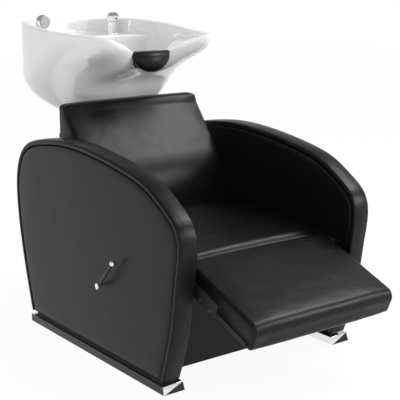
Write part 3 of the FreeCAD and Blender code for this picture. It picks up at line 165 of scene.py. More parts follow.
class Paint(Tree):
    def __init__(self, name):
        self.material = bpy.data.materials.new(name)
        self.material.use_nodes = True
        super().__init__(self.material.node_tree)

    def place(self, stretch=(1, 1, 1)):
        spot = self.add("ShaderNodeTexCoord", out="Object")
        return self.add("ShaderNodeMapping", {"Vector": spot, "Scale": stretch})

    def noise(self, scale, detail=3.0, rough=0.5, stretch=(1, 1, 1)):
        return self.add("ShaderNodeTexNoise", {"Vector": self.place(stretch), "Scale": scale,
                                               "Detail": detail, "Roughness": rough})

    def cells(self, scale, feature="F1"):
        return self.add("ShaderNodeTexVoronoi", {"Vector": self.place(), "Scale": scale},
                        "Distance", feature=feature)

    def ramp(self, value, *stops):
        return self.add("ShaderNodeValToRGB", {"Fac": value}, stops=stops)

    def span(self, value, low, high, fromLow=0.0, fromHigh=1.0):
        return self.add("ShaderNodeMapRange",
                        {"Value": value, "From Min": fromLow, "From Max": fromHigh,
                         "To Min": low, "To Max": high})

    def mix(self, share, first, second):
        return self.add("ShaderNodeMix", {0: share, 6: first, 7: second}, 2, data_type="RGBA")

    def bump(self, height, strength, distance):
        return self.add("ShaderNodeBump",
                        {"Height": height, "Strength": strength, "Distance": distance})

    def close(self, links):
        surface = self.add("ShaderNodeBsdfPrincipled", links)
        self.add("ShaderNodeOutputMaterial", {"Surface": surface})
        return self.material


def grey(level, warmth=0.0):
    return (level * (1 + warmth), level, level * (1 - warmth), 1)


def leatherPaint(name="softLeather", level=0.0052):
    paint = Paint(name)
    cloudy = paint.noise(9, 4, 0.55)
    pores = paint.cells(620, "DISTANCE_TO_EDGE")
    creases = paint.noise(210, 5, 0.6)
    tired = paint.noise(34, 3, 0.5)
    grain = paint.span(pores, 0.0, 1.0, 0.0, 0.16)
    base = paint.mix(cloudy, grey(level * 0.82, 0.03), grey(level * 1.2, 0.02))
    base = paint.mix(grain, grey(level * 0.6), base)
    rough = paint.span(cloudy, 0.3, 0.37) + paint.span(tired, -0.02, 0.02)
    height = grain * 0.6 + creases * 0.4 + tired * 0.5
    return paint.close({"Base Color": base, "Roughness": rough,
                        "Normal": paint.bump(height, 0.16, 0.0006),
                        "Specular IOR Level": 0.2})


def chromePaint(name="polishedChrome", level=0.82, rough=0.05, brushed=0.0):
    paint = Paint(name)
    smudge = paint.noise(28, 4, 0.6)
    lines = paint.noise(160, 2, 0.5, (1, 0.02, 1))
    fine = paint.noise(900, 2, 0.5)
    base = paint.mix(smudge, grey(level * 0.97), grey(level * 1.03))
    roughness = paint.span(smudge, rough, rough + 0.05) + lines * brushed
    return paint.close({"Base Color": base, "Metallic": 1.0, "Roughness": roughness,
                        "Normal": paint.bump(fine, 0.04, 0.0002)})


def ceramicPaint():
    paint = Paint("whiteGlaze")
    drift = paint.noise(3.5, 3, 0.5)
    settle = paint.noise(16, 2, 0.4)
    speck = paint.cells(420)
    base = paint.mix(drift, grey(0.70, 0.006), grey(0.74, 0.003))
    base = paint.mix(paint.span(speck, 1.0, 0.0, 0.0, 0.03), base, grey(0.68, 0.03))
    return paint.close({"Base Color": base, "Roughness": paint.span(settle, 0.07, 0.13),
                        "Coat Weight": paint.span(drift, 0.5, 0.7), "Coat Roughness": 0.04,
                        "Normal": paint.bump(settle, 0.05, 0.002)})


def gelPaint():
    paint = Paint("glossyGelRubber")
    touch = paint.noise(45, 4, 0.6)
    fine = paint.noise(500, 2, 0.5)
    return paint.close({"Base Color": paint.mix(touch, grey(0.004), grey(0.007)),
                        "Roughness": paint.span(touch, 0.34, 0.44), "Specular IOR Level": 0.2,
                        "Normal": paint.bump(fine, 0.06, 0.0003)})


def coatPaint(name, level, rough, grainScale=700):
    paint = Paint(name)
    peel = paint.noise(grainScale, 2, 0.5)
    worn = paint.noise(22, 4, 0.6)
    base = paint.mix(worn, grey(level * 0.85), grey(level * 1.15))
    return paint.close({"Base Color": base, "Roughness": paint.span(worn, rough, rough + 0.12),
                        "Normal": paint.bump(peel, 0.12, 0.0004)})


def woodPaint():
    paint = Paint("blackStainedPlywood")
    veins = paint.noise(26, 5, 0.6, (6, 0.5, 1))
    plies = paint.add("ShaderNodeTexWave",
                      {"Vector": paint.place(), "Scale": 190.0, "Distortion": 0.4,
                       "Detail": 2.0}, bands_direction="Z")
    tone = paint.ramp(veins, (0.25, (0.006, 0.005, 0.005)), (0.5, (0.011, 0.010, 0.009)),
                      (0.8, (0.016, 0.014, 0.013)))
    tone = paint.mix(plies * 0.25, tone, (0.004, 0.004, 0.004, 1))
    return paint.close({"Base Color": tone, "Roughness": paint.span(veins, 0.5, 0.7),
                        "Normal": paint.bump(veins, 0.15, 0.0005)})


def braidPaint():
    paint = Paint("braidedSleeve")
    weave = paint.cells(900)
    shade = paint.ramp(weave, (0.1, (0.65, 0.65, 0.66)), (0.7, (0.12, 0.12, 0.12)))
    return paint.close({"Base Color": shade, "Metallic": 0.9,
                        "Roughness": paint.span(weave, 0.25, 0.5),
                        "Normal": paint.bump(weave, 0.5, 0.0006)})


def dotPaint():
    paint = Paint("warmAndColdMark")
    spot = paint.add("ShaderNodeTexCoord", out="Object")
    x = paint.add("ShaderNodeSeparateXYZ", {0: spot})
    side = paint.span(x, 0.0, 1.0, 0.1395, 0.1425)
    speckle = paint.noise(300, 2, 0.5)
    base = paint.mix(side, (0.62, 0.02, 0.03, 1), (0.03, 0.06, 0.55, 1))
    return paint.close({"Base Color": base, "Roughness": paint.span(speckle, 0.2, 0.35)})


finishes = {
    "leather": leatherPaint(),
    "piping": leatherPaint("seamLeather", 0.0045),
    "chrome": chromePaint(),
    # a dark copy of the chrome, used as painted shade on the lever rod and on parts of the foot
    # rails
    "paintedShadeChrome": chromePaint("shadedChrome", 0.045, 0.12),
    "zinc": chromePaint("zincPlate", 0.62, 0.24, 0.1),
    "bronze": coatPaint("turnedBronze", 0.3, 0.3),
    "ceramic": ceramicPaint(),
    "gel": gelPaint(),
    "steel": coatPaint("blackPowderCoat", 0.022, 0.42),
    "sheet": coatPaint("satinBlackSheet", 0.03, 0.36, 500),
    "wood": woodPaint(),
    "plastic": coatPaint("blackPlastic", 0.02, 0.5),
    "greyPlastic": coatPaint("greyPlastic", 0.28, 0.45),
    "sprayFace": coatPaint("lightGreyPlastic", 0.34, 0.38),
    "hose": coatPaint("blackHose", 0.02, 0.4),
    "rubber": coatPaint("greyRubber", 0.08, 0.6),
    "braid": braidPaint(),
    "dot": dotPaint(),
}
slotFinishes = {
    "polished_chrome": "chrome", "plywood": "wood", "black_steel": "steel",
    "zinc_steel": "zinc", "black_plastic": "plastic", "bronze": "bronze",
    "grey_rubber": "rubber", "black_sheet": "sheet", "grey_plastic": "greyPlastic",
    "white_ceramic": "ceramic", "black_rubber": "gel", "dot_enamel": "dot",
    "light_grey_plastic": "sprayFace", "black_hose": "hose", "braided_steel": "braid",
    "black_leather": "leather", "wrapped_board": "leather",
}
slots = {part["node"]: part["material_slot"] for part in frame["record"]["subparts"]}
print("materials ready", len(finishes))


# Mesh helpers
def flatten(item):
    # turns modifiers into a plain mesh
    bpy.context.view_layer.update()
    seen = item.evaluated_get(bpy.context.evaluated_depsgraph_get())
    mesh = bpy.data.meshes.new_from_object(seen)
    item.modifiers.clear()
    old = item.data
    item.data = mesh
    mesh.name = item.name
    bpy.data.meshes.remove(old)
    return item


def meshPiece(name, points, faces, outwards=True, edges=()):
    mesh = bpy.data.meshes.new(name)
    mesh.from_pydata([tuple(point) for point in points], edges, [tuple(face) for face in faces])
    item = linked(name, mesh)
    if outwards:
        tidy(item)
    return item


def placesOf(item):
    places = np.empty(len(item.data.vertices) * 3)
    item.data.vertices.foreach_get("co", places)
    return places.reshape(-1, 3)


def placed(item, places):
    item.data.vertices.foreach_set("co", places.ravel())
    item.data.update()


def tidy(item, merged=True):
    # faces outward, and by default no doubled points
    work = bmesh.new()
    work.from_mesh(item.data)
    if merged:
        bmesh.ops.remove_doubles(work, verts=work.verts, dist=0.00001)
    bmesh.ops.recalc_face_normals(work, faces=work.faces)
    work.to_mesh(item.data)
    work.free()
    return item


def smoothShaded(item, angle=None):
    for polygon in item.data.polygons:
        polygon.use_smooth = True
    if angle:
        item.data.set_sharp_from_angle(angle=math.radians(angle))
    return item


def painted(item, finish):
    item.data.materials.clear()
    item.data.materials.append(finishes[finish])


def standsFor(item, nodeName, finish=None):
    # a dressed piece in the place of a CAD node
    slot = slots[nodeName]
    painted(item, finish or slotFinishes[slot])
    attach(item, frame["nodes"][nodeName]["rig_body"])
    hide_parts(nodeName)
    return item


def modifier(item, kind, **settings):
    made = item.modifiers.new(kind.lower(), kind)
    for key, setting in settings.items():
        setattr(made, key, setting)
    return made


def copyOf(nodeName, name):
    source = frame["nodes"][nodeName]
    item = linked(name, source.data.copy())
    item.data.materials.clear()
    return tidy(item)


def flatJoined(item):
    # the mesh of an item with its flat faces whole, still open for work
    work = bmesh.new()
    work.from_mesh(item.data)
    bmesh.ops.dissolve_limit(work, angle_limit=math.radians(1.5), verts=work.verts,
                             edges=work.edges)
    return work


def edgesEased(item, width, bevelFrom, sharpFrom):
    modifier(item, "BEVEL", width=width, segments=2, limit_method="ANGLE",
             angle_limit=math.radians(bevelFrom))
    return smoothShaded(flatten(item), sharpFrom)


def rounded(nodeName, name, width, finish=None):
    # a hard piece with its edges eased
    settings = {"bevelFrom": 35, "sharpFrom": 18}
    item = copyOf(nodeName, name)
    work = flatJoined(item)
    work.to_mesh(item.data)
    work.free()
    carried = item.data.attributes.get("custom_normal")
    if carried:
        item.data.attributes.remove(carried)
    edgesEased(item, width, **settings)
    return standsFor(item, nodeName, finish)


def lengthsAlong(points):
    return np.concatenate([[0], np.cumsum(np.linalg.norm(np.diff(points, axis=0), axis=1))])


def headings(loop):
    # the direction of a closed row of points at each of them
    ahead = np.roll(loop, -1, axis=0) - np.roll(loop, 1, axis=0)
    return ahead / np.linalg.norm(ahead, axis=1)[:, None]


def throughPoints(points, count):
    # evenly spaced points on a smooth curve through the given ones
    given = np.array(points, float)
    along = lengthsAlong(given)
    gaps = np.diff(along)
    size = len(given)
    matrix = np.eye(size)
    right = np.zeros_like(given)
    slopes = np.diff(given, axis=0) / gaps[:, None]
    for row in range(1, size - 1):
        matrix[row, row - 1] = gaps[row - 1]
        matrix[row, row] = 2 * (gaps[row - 1] + gaps[row])
        matrix[row, row + 1] = gaps[row]
        right[row] = 6 * (slopes[row] - slopes[row - 1])
    curve = np.linalg.solve(matrix, right)
    places = np.linspace(0, along[-1], count * 6)
    runs = np.clip(np.searchsorted(along, places, "right") - 1, 0, size - 2)
    gap = gaps[runs][:, None]
    ahead = (along[runs + 1] - places)[:, None]
    behind = (places - along[runs])[:, None]
    dense = (curve[runs] * ahead ** 3 + curve[runs + 1] * behind ** 3) / (6 * gap)
    dense += (given[runs] / gap - curve[runs] * gap / 6) * ahead
    dense += (given[runs + 1] / gap - curve[runs + 1] * gap / 6) * behind
    return evenly(dense, count)


def evenly(points, count, closed=False):
    points = np.array(points, float)
    if closed:
        points = np.vstack([points, points[:1]])
    along = lengthsAlong(points)
    wanted = np.linspace(0, along[-1], count + 1 if closed else count)
    found = np.stack([np.interp(wanted, along, points[:, axis])
                      for axis in range(points.shape[1])], axis=1)
    return found[:-1] if closed else found


def bridged(rings):
    # faces between closed rings of equal length
    count = len(rings[0])
    faces = []
    for level in range(len(rings) - 1):
        for index in range(count):
            after = (index + 1) % count
            faces.append((level * count + index, level * count + after,
                          (level + 1) * count + after, (level + 1) * count + index))
    return faces


def weltAlong(name, path, radius, sides):
    # a round welt that follows a closed row of points
    path = np.array(path, float)
    ahead = headings(path)
    side = np.cross(ahead[0], (0.31, 0.52, 0.79))
    rings = []
    for point, direction in zip(path, ahead):
        side = side - direction * (side @ direction)
        side /= np.linalg.norm(side)
        up = np.cross(direction, side)
        rings.append([point + radius * (math.cos(turn) * side + math.sin(turn) * up)
                      for turn in (2 * math.pi * step / sides for step in range(sides))])
    rings.append(rings[0])
    return smoothShaded(meshPiece(name, np.vstack(rings), bridged(rings)))


def joined(name, items):
    with bpy.context.temp_override(active_object=items[0], selected_objects=items,
                                   selected_editable_objects=items):
        bpy.ops.object.join()
    items[0].name = name
    items[0].data.name = name
    return items[0]


clothFrames = 20
clothSizes = {"quality": 5, "mass": 0.4, "tension_stiffness": 14, "compression_stiffness": 14,
              "shear_stiffness": 6, "bending_stiffness": 0.6, "use_pressure": True,
              "uniform_pressure_force": 4.0}


def clothSettled(item, pinned, cap):
    # fills a sewn cover with foam pressure, its seams held, and keeps the result
    before = placesOf(item)
    group = item.vertex_groups.new(name="seams")
    for index, weight in pinned.items():
        group.add([int(index)], float(weight), "REPLACE")
    made = modifier(item, "CLOTH")
    for key, setting in clothSizes.items():
        setattr(made.settings, key, setting)
    made.settings.vertex_group_mass = "seams"
    made.settings.effector_weights.gravity = 0
    made.collision_settings.use_collision = False
    made.collision_settings.use_self_collision = False
    made.point_cache.frame_start = 1
    made.point_cache.frame_end = clothFrames
    for step in range(1, clothFrames + 1):
        scene.frame_set(step)
    flatten(item)
    scene.frame_set(1)
    item.vertex_groups.clear()
    moved = placesOf(item) - before
    length = np.maximum(np.linalg.norm(moved, axis=1), 1e-9)
    moved *= (cap * np.tanh(length / cap) / length)[:, None]
    placed(item, before + evenedOut(item, moved, pinned))
    print(" ", item.name, "settled, most", round(float(length.max()) * 1000, 1), "mm")
    return item


def evenedOut(item, moved, pinned):
    # spreads the cover's movement so that the foam lies smooth between its seams
    edges = np.empty(len(item.data.edges) * 2, int)
    item.data.edges.foreach_get("vertices", edges)
    first, second = edges.reshape(-1, 2).T
    count = np.bincount(edges, minlength=len(moved))[:, None]
    free = np.ones((len(moved), 1))
    for index, weight in pinned.items():
        free[index] = 1 - weight
    for turn in range(14):
        total = np.zeros_like(moved)
        np.add.at(total, first, moved[second])
        np.add.at(total, second, moved[first])
        moved = (moved + total / count) / 2 * free
    return moved


# Hoses
hoseRoutes = {
    "coldTail": ("supply_tails", 0.3116,
                 ((0.149, 0.161, 0.88), (0.149, 0.161, 0.8151), (0.116, 0.1579, 0.76),
                  (0.068, 0.154, 0.7151), (0.044, 0.1301, 0.6649), (0.04, 0.091, 0.6181))),
    "hotTail": ("supply_tails", 0.3712,
                ((0.135, 0.161, 0.88), (0.135, 0.161, 0.8151), (0.078, 0.172, 0.7649),
                 (0.0, 0.176, 0.7449), (-0.0361, 0.1501, 0.6899), (-0.04, 0.092, 0.6181))),
    "sprayLine": ("spray_hose", 0.4369,
                  ((0.142, 0.173, 0.88), (0.142, 0.1779, 0.8351), (0.11, 0.205, 0.7899),
                   (0.05, 0.225, 0.7649), (-0.05, 0.225, 0.7649), (-0.11, 0.205, 0.7899),
                   (-0.142, 0.172, 0.8351), (-0.142, 0.164, 0.8759))),
}
hoseThickness = 0.01
for name, (nodeName, length, route) in hoseRoutes.items():
    data = bpy.data.curves.new(name, "CURVE")
    data.dimensions = "3D"
    spline = data.splines.new("NURBS")
    spline.points.add(len(route) - 1)
    for point, place in zip(spline.points, route):
        point.co = (*place, 1)
    spline.order_u = 3
    spline.use_endpoint_u = True
    spline.resolution_u = 16
    data.bevel_depth = hoseThickness / 2
    data.bevel_resolution = 4
    data.use_fill_caps = True
    hose = linked(name, data)
    standsFor(hose, nodeName)
print("hoses ready")


# Sewn covers
def slopedOutline(corners, radii, arcSteps, runSteps):
    # closed outline in the YZ plane: an arc at each corner, straight runs between
    count = len(corners)
    marks = []
    for index in range(count):
        corner = corners[index]
        before = corners[index - 1] - corner
        after = corners[(index + 1) % count] - corner
        before, after = before / np.linalg.norm(before), after / np.linalg.norm(after)
        half = math.acos(max(-1, min(1, float(before @ after)))) / 2
        bisector = (before + after) / np.linalg.norm(before + after)
        centre = corner + bisector * radii[index] / math.sin(half)
        reach = radii[index] / math.tan(half)
        marks.append((centre, corner + before * reach, corner + after * reach, radii[index]))
    points = []
    for index, (centre, start, end, radius) in enumerate(marks):
        for step in range(arcSteps + 1):
            share = step / arcSteps
            arm = (start - centre) * (1 - share) + (end - centre) * share
            points.append(centre + arm * radius / np.linalg.norm(arm))
        ahead = marks[(index + 1) % count][1]
        for step in range(1, runSteps[index]):
            points.append(end + (ahead - end) * step / runSteps[index])
    return np.array(points)


def movedIn(corners, insets):
    # corners after each side of the outline has moved inwards
    count = len(corners)
    sides = []
    for index in range(count):
        run = corners[(index + 1) % count] - corners[index]
        inwards = np.array((-run[1], run[0])) / np.linalg.norm(run)
        sides.append((inwards, inwards @ corners[index] + insets[index]))
    return [np.linalg.solve(np.array((sides[index - 1][0], sides[index][0])),
                            np.array((sides[index - 1][1], sides[index][1])))
            for index in range(count)]


def filledCap(ring, spacing):
    # triangles inside a flat closed ring, with rows of inner points
    low, high = ring.min(0), ring.max(0)
    count = len(ring)
    inner = []
    after = np.roll(ring, -1, axis=0)
    for row, z in enumerate(np.arange(low[1] + spacing / 2, high[1], spacing * 0.87)):
        for y in np.arange(low[0] + spacing * (0.5 if row % 2 else 1), high[0], spacing):
            spot = np.array((y, z))
            run = after - ring
            share = np.clip(((spot - ring) * run).sum(1) / (run * run).sum(1), 0, 1)
            gap = np.linalg.norm(ring + run * share[:, None] - spot, axis=1).min()
            rise = np.where(run[:, 1] == 0, 1e-12, run[:, 1])
            beyond = y < ring[:, 0] + (z - ring[:, 1]) * run[:, 0] / rise
            crossings = ((ring[:, 1] > z) != (after[:, 1] > z)) & beyond
            if gap > spacing * 0.6 and crossings.sum() % 2:
                inner.append((y, z, gap))
    flat = [Vector(point) for point in ring] + [Vector(point[:2]) for point in inner]
    edges = [(index, (index + 1) % count) for index in range(count)]
    made = delaunay_2d_cdt(flat, edges, [], 1, 0.0000001)
    gaps = [0.0] * count + [point[2] for point in inner]
    origins = [item[0] if item else 0 for item in made[3]]
    return [tuple(point) for point in made[0]], made[2], [gaps[item] for item in origins]


def capped(points, faces, first, size, flat, fans, across):
    # closes a ring of points with the triangles of a filled cap
    spots = {}
    for index, (y, z) in enumerate(flat):
        if index < size:
            spots[index] = first + index
        else:
            spots[index] = len(points)
            points.append(np.array((across[index], y, z)))
    faces += [tuple(spots[index] for index in fan) for fan in fans]


def sewnBlock(name, corners, radii, soft, halfWidth, settings):
    # a box cover: top panels wrapped over the width, side panels sewn in along a groove
    corners = [np.array(point, float) * mm for point in corners]
    radii = [radius * mm for radius in radii]
    half, cell = halfWidth * mm, settings["cell"] * mm
    bend, crown = settings["sideRound"] * mm, settings["crown"] * mm
    count = len(corners)
    runs = [max(2, round(np.linalg.norm(corners[(index + 1) % count] - corners[index]) / cell))
            for index in range(count)]

    def section(x, inset, swell):
        moved = movedIn(corners, [inset - swell * softness for softness in soft])
        kept = [max(radius - inset, 0.0006 if radius > 0.001 else radius) for radius in radii]
        flat = slopedOutline(moved, kept, settings["arcSteps"], runs)
        return np.column_stack([np.full(len(flat), x), flat])

    groove = ((-0.0012, 0.0009), (-0.0014, 0.0016), (0.0, 0.0027))
    turns = [share * math.pi / 2 for share in (0.08, 0.25, 0.45, 0.65, 0.85, 1.0)]
    side = [(half - bend + bend * math.sin(turn), bend * (1 - math.cos(turn)), False)
            for turn in turns]
    side += [(half + x, bend + inset, True) for x, inset in groove]
    steps = int(2 * (half - bend) / cell)
    rings = [(-x, inset, sewn) for x, inset, sewn in reversed(side)]
    rings += [(-(half - bend) + 2 * (half - bend) * step / steps, 0.0, False)
              for step in range(steps + 1)]
    rings += side
    loops = [section(x, inset, crown * (1 - min(1, abs(x) / half) ** 2.5))
             for x, inset, sewn in rings]
    size = len(loops[0])
    seam = {level * size + index: 1.0 for level, ring in enumerate(rings) if ring[2]
            for index in range(size)}
    faces = bridged(loops)
    points = list(np.vstack(loops))
    for level in (0, len(loops) - 1):
        ring = loops[level]
        flat, fans, gaps = filledCap(ring[:, 1:], cell)
        sign = -1 if level == 0 else 1
        lifts = sign * settings["sideCrown"] * mm * (1 - np.exp(-np.array(gaps) / 0.012))
        capped(points, faces, level * size, size, flat, fans, ring[0, 0] + lifts)
    item = meshPiece(name, points, faces, False)
    paths = [loop for loop, (x, inset, sewn) in zip(loops, rings)
             if sewn and abs(abs(x) - (half + groove[0][0])) < 0.00001]
    return item, seam, paths


def roundedTop(points, halfWidth, top, radius):
    # eases the two upper corners seen from the front
    for point in points:
        across = abs(point[0]) - (halfWidth - radius)
        up = point[2] - (top - radius)
        reach = math.hypot(across, up)
        if across > 0 and up > 0 and reach > radius:
            point[0] = math.copysign(halfWidth - radius + across * radius / reach, point[0])
            point[2] = top - radius + up * radius / reach


def pushed(item, heights):
    # moves each point along its normal
    item.data.update()
    normals = np.empty(len(item.data.vertices) * 3)
    item.data.vertices.foreach_get("normal", normals)
    placed(item, placesOf(item) + normals.reshape(-1, 3) * np.array(heights)[:, None])


def ruffled(item, amount, scale, held):
    # small folds of a cover, none at the seams
    heights = []
    for vertex in item.data.vertices:
        spot = vertex.co * scale
        wave = noise.noise(spot) + 0.5 * noise.noise(spot * 2.7)
        heights.append(0 if vertex.index in held else wave * amount)
    pushed(item, heights)


def drawnToSeam(item, seamPoints, depth, reach):
    # short pulls that run from a seam into the cover
    tree = BVHTree.FromPolygons([tuple(point) for point in seamPoints],
                                [(i, i + 1, i + 2) for i in range(len(seamPoints) - 2)])
    heights = []
    for vertex in item.data.vertices:
        found = tree.find_nearest(vertex.co, reach * 2)
        if found[3] is None:
            heights.append(0)
            continue
        along = noise.noise(Vector(found[0]) * 55.0)
        fade = math.exp(-((found[3] / reach - 0.7) / 0.5) ** 2)
        heights.append(along * depth * fade)
    pushed(item, heights)


stitchSizes = {"Spacing": 0.0058, "Length": 0.0036, "Thickness": 0.0011}


def stitchTree():
    tree = bpy.data.node_groups.new("sewnStitches", "GeometryNodeTree")
    sockets = tree.interface
    sockets.new_socket("Geometry", in_out="INPUT", socket_type="NodeSocketGeometry")
    for label, number in stitchSizes.items():
        made = sockets.new_socket(label, in_out="INPUT", socket_type="NodeSocketFloat")
        made.default_value = number
    sockets.new_socket("Thread", in_out="INPUT", socket_type="NodeSocketMaterial")
    sockets.new_socket("Geometry", in_out="OUTPUT", socket_type="NodeSocketGeometry")
    add = Tree(tree).add
    given = add("NodeGroupInput")
    line = add("GeometryNodeMeshToCurve", {"Mesh": given})
    spaced = add("GeometryNodeResampleCurve", {"Curve": line, "Length": given.out("Spacing")},
                 mode="LENGTH")
    bead = add("GeometryNodeMeshIcoSphere", {"Radius": 0.5, "Subdivisions": 1})
    thick = given.out("Thickness")
    sized = add("ShaderNodeCombineXYZ", {"X": thick, "Y": thick, "Z": given.out("Length")})
    turned = add("FunctionNodeAlignRotationToVector",
                 {"Vector": add("GeometryNodeInputTangent")}, axis="Z")
    rowed = add("GeometryNodeInstanceOnPoints",
                {"Points": spaced, "Instance": bead, "Rotation": turned, "Scale": sized})
    whole = add("GeometryNodeRealizeInstances", {"Geometry": rowed})
    smooth = add("GeometryNodeSetShadeSmooth", {"Geometry": whole})
    dyed = add("GeometryNodeSetMaterial", {"Geometry": smooth, "Material": given.out("Thread")})
    add("NodeGroupOutput", {"Geometry": dyed})
    return tree


stitchGroup = stitchTree()


def stitches(name, paths, body):
    # thread that follows paths on a cover
    points, edges = [], []
    for path in paths:
        base = len(points)
        points += list(path)
        edges += [(base + index, base + index + 1) for index in range(len(path) - 1)]
    item = meshPiece(name, points, [], False, edges)
    made = modifier(item, "NODES", node_group=stitchGroup)
    for socket in stitchGroup.interface.items_tree:
        if socket.in_out == "INPUT" and socket.name in stitchSizes:
            made[socket.identifier] = stitchSizes[socket.name]
        if socket.in_out == "INPUT" and socket.name == "Thread":
            made[socket.identifier] = finishes["piping"]
    flatten(item)
    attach(item, body)
    return item


# Cushions of the seat, the backrest and the leg rest
setback = 850
blockSettings = {"cell": 7.5, "sideRound": 9, "crown": 5, "sideCrown": 2.0, "arcSteps": 5,
                 "fold": 0.0005, "foldScale": 26, "cap": 0.0028, "pull": 0.0005,
                 "pullReach": 0.02}


def finishedCushion(item, seam, paths, nodeName, settings, rests, turn=None):
    # folds, foam pressure and pulls at the seams; the points that rest on a board stay
    ruffled(item, settings["fold"], settings["foldScale"], seam)
    pinned = dict(seam)
    for vertex in item.data.vertices:
        if rests(vertex.co):
            pinned[vertex.index] = 1.0
    tidy(item, False)
    clothSettled(item, pinned, settings["cap"])
    for path in paths:
        drawnToSeam(item, path, settings["pull"], settings["pullReach"])
    modifier(item, "SUBSURF", levels=1, render_levels=1)
    flatten(item)
    if turn is not None:
        item.data.transform(turn)
    smoothShaded(item)
    standsFor(item, nodeName)


def welts(name, paths, body):
    # thin piping half sunk in the seams
    settings = {"radius": 0.0017, "sides": 8}
    lines = [weltAlong(f"{name}{index}", path, settings["radius"], settings["sides"])
             for index, path in enumerate(paths)]
    item = smoothShaded(joined(name, lines))
    painted(item, "piping")
    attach(item, body)


def seatCushion():
    base, rear = 306.3, 485
    settings = dict(blockSettings, fill=0.8)
    corners = ((42, base), (rear, base), (rear, 386), (42, 368))
    corners = [(y - setback, z) for y, z in corners]
    item, seam, paths = sewnBlock("seatCover", corners, (8, 8, 8, 24), (0, 0, 1, 0), 285,
                                  settings)
    finishedCushion(item, seam, paths, "seat_cushion", settings,
                    lambda point: point.z < (base + 3) * mm)
    welts("seatWelts", paths, "bed")


def backCushion():
    base, top, rear = 306.3, 728, 711.7
    settings = dict(blockSettings, fill=0.75)
    topCorner = (0.2608, 0.7285, 0.024)
    corners = ((487, base), (rear, base), (rear, top), (677, top), (664, 696), (499, 488))
    corners = [(y - setback, z) for y, z in corners]
    item, seam, paths = sewnBlock("backrestCover", corners, (8, 8, 14, 14, 40, 220),
                                  (0, 0, 0.5, 1, 1, 0.3), 260, settings)
    for vertex in item.data.vertices:
        vertex.co.y = min(vertex.co.y, (rear - setback) * mm)
    roundedTop([vertex.co for vertex in item.data.vertices], *topCorner)
    for path in paths:
        roundedTop(path, *topCorner)
    finishedCushion(item, seam, paths, "backrest_cushion", settings,
                    lambda point: point.z < (base + 3) * mm
                    or point.y > (rear - 3 - setback) * mm)
    for path in paths:
        path[:, 1] = np.minimum(path[:, 1], (rear - 2 - setback) * mm)
    welts("backrestWelts", paths, "bed")


def legCushion():
    below, above, length, lip = 33, 43, 307, 22
    nose = 4 - length
    boardTop = 15 - below + 0.3
    settings = dict(blockSettings, crown=4, sideRound=8, fold=0.0004, cap=0.0024, pull=0.0004,
                    pullReach=0.018, fill=0.85)
    hinge, raised = (0, (22 - setback) * mm, 0.323), 21.05
    corners = ((nose, -below), (nose + lip, -below), (nose + lip, boardTop), (12, boardTop),
               (19, above), (-length, above))
    item, seam, paths = sewnBlock("legRestCover", corners, (14, 2, 0.3, 6, 12, 28),
                                  (0, 0, 0, 0, 1, 0.5), 257, settings)
    turn = Matrix.Translation(hinge) @ Matrix.Rotation(math.radians(raised), 4, "X")

    def rests(point):
        under = point.z < (boardTop + 3) * mm and point.y > (nose + lip - 2) * mm
        return under or point.z < (3 - below) * mm

    finishedCushion(item, seam, paths, "legrest_cushion", settings, rests, turn)
    turned = [np.array([turn @ Vector(point) for point in path]) for path in paths]
    welts("legRestWelts", turned, "leg_rest")


seatCushion()
backCushion()
legCushion()
print("cushions ready")


# Padded arms
armShares = (
    (0.098, 0.0), (0.063, 0.149), (0.035, 0.333), (0.012, 0.563), (0.002, 0.670), (0.018, 0.759),
    (0.080, 0.822), (0.136, 0.878), (0.268, 0.942), (0.486, 0.990), (0.646, 1.0), (0.836, 0.967),
    (0.940, 0.911), (0.987, 0.804), (1.0, 0.599), (0.960, 0.243), (0.916, 0.0),
)
armSizes = {"length": 932, "overhang": 79, "bottom": 34, "height": 606, "middle": 319.5,
            "half": 30.5, "band": 16, "groove": 2, "padDepth": 12.2, "round": 7,
            "easing": 60}


def armCurve(count=300):
    points = [((y * armSizes["length"] - armSizes["overhang"] - setback) * mm,
               (armSizes["bottom"] + z * armSizes["height"]) * mm) for y, z in armShares]
    curve = throughPoints(points, count)
    for turn in range(armSizes["easing"]):
        curve[1:-1] = (curve[:-2] + 2 * curve[1:-1] + curve[2:]) / 4
    return evenly(curve, count)


def inwardWays(curve):
    ahead = np.gradient(curve, axis=0)
    ahead /= np.linalg.norm(ahead, axis=1)[:, None]
    return np.column_stack([ahead[:, 1], -ahead[:, 0]])


def armRing(curve, inset, lift, count=300, bottomCount=70):
    # the arm's outline moved inwards and closed along the bottom
    moved = curve + inwardWays(curve) * inset
    floor = armSizes["bottom"] * mm + lift
    keep = moved[:, 1] > floor
    first, last = np.argmax(keep), len(keep) - 1 - np.argmax(keep[::-1])
    ends = []
    for inside, outside in ((first, first - 1), (last, last + 1)):
        if 0 <= outside < len(moved) and not keep[outside]:
            share = (floor - moved[inside, 1]) / (moved[outside, 1] - moved[inside, 1])
            ends.append(moved[inside] + (moved[outside] - moved[inside]) * share)
        else:
            slope = moved[inside] - moved[inside + (1 if outside < inside else -1)]
            ends.append(moved[inside] + slope * (floor - moved[inside, 1]) / slope[1])
    line = evenly(np.vstack([ends[0], moved[first + 1:last], ends[1]]), count)
    back = [line[-1] + (line[0] - line[-1]) * step / bottomCount
            for step in range(1, bottomCount)]
    return np.vstack([line, back])


def armDressed(item, side, part):
    # the scene's left is the record's right, as seen from the front
    standsFor(item, ("right_" if side > 0 else "left_") + part)


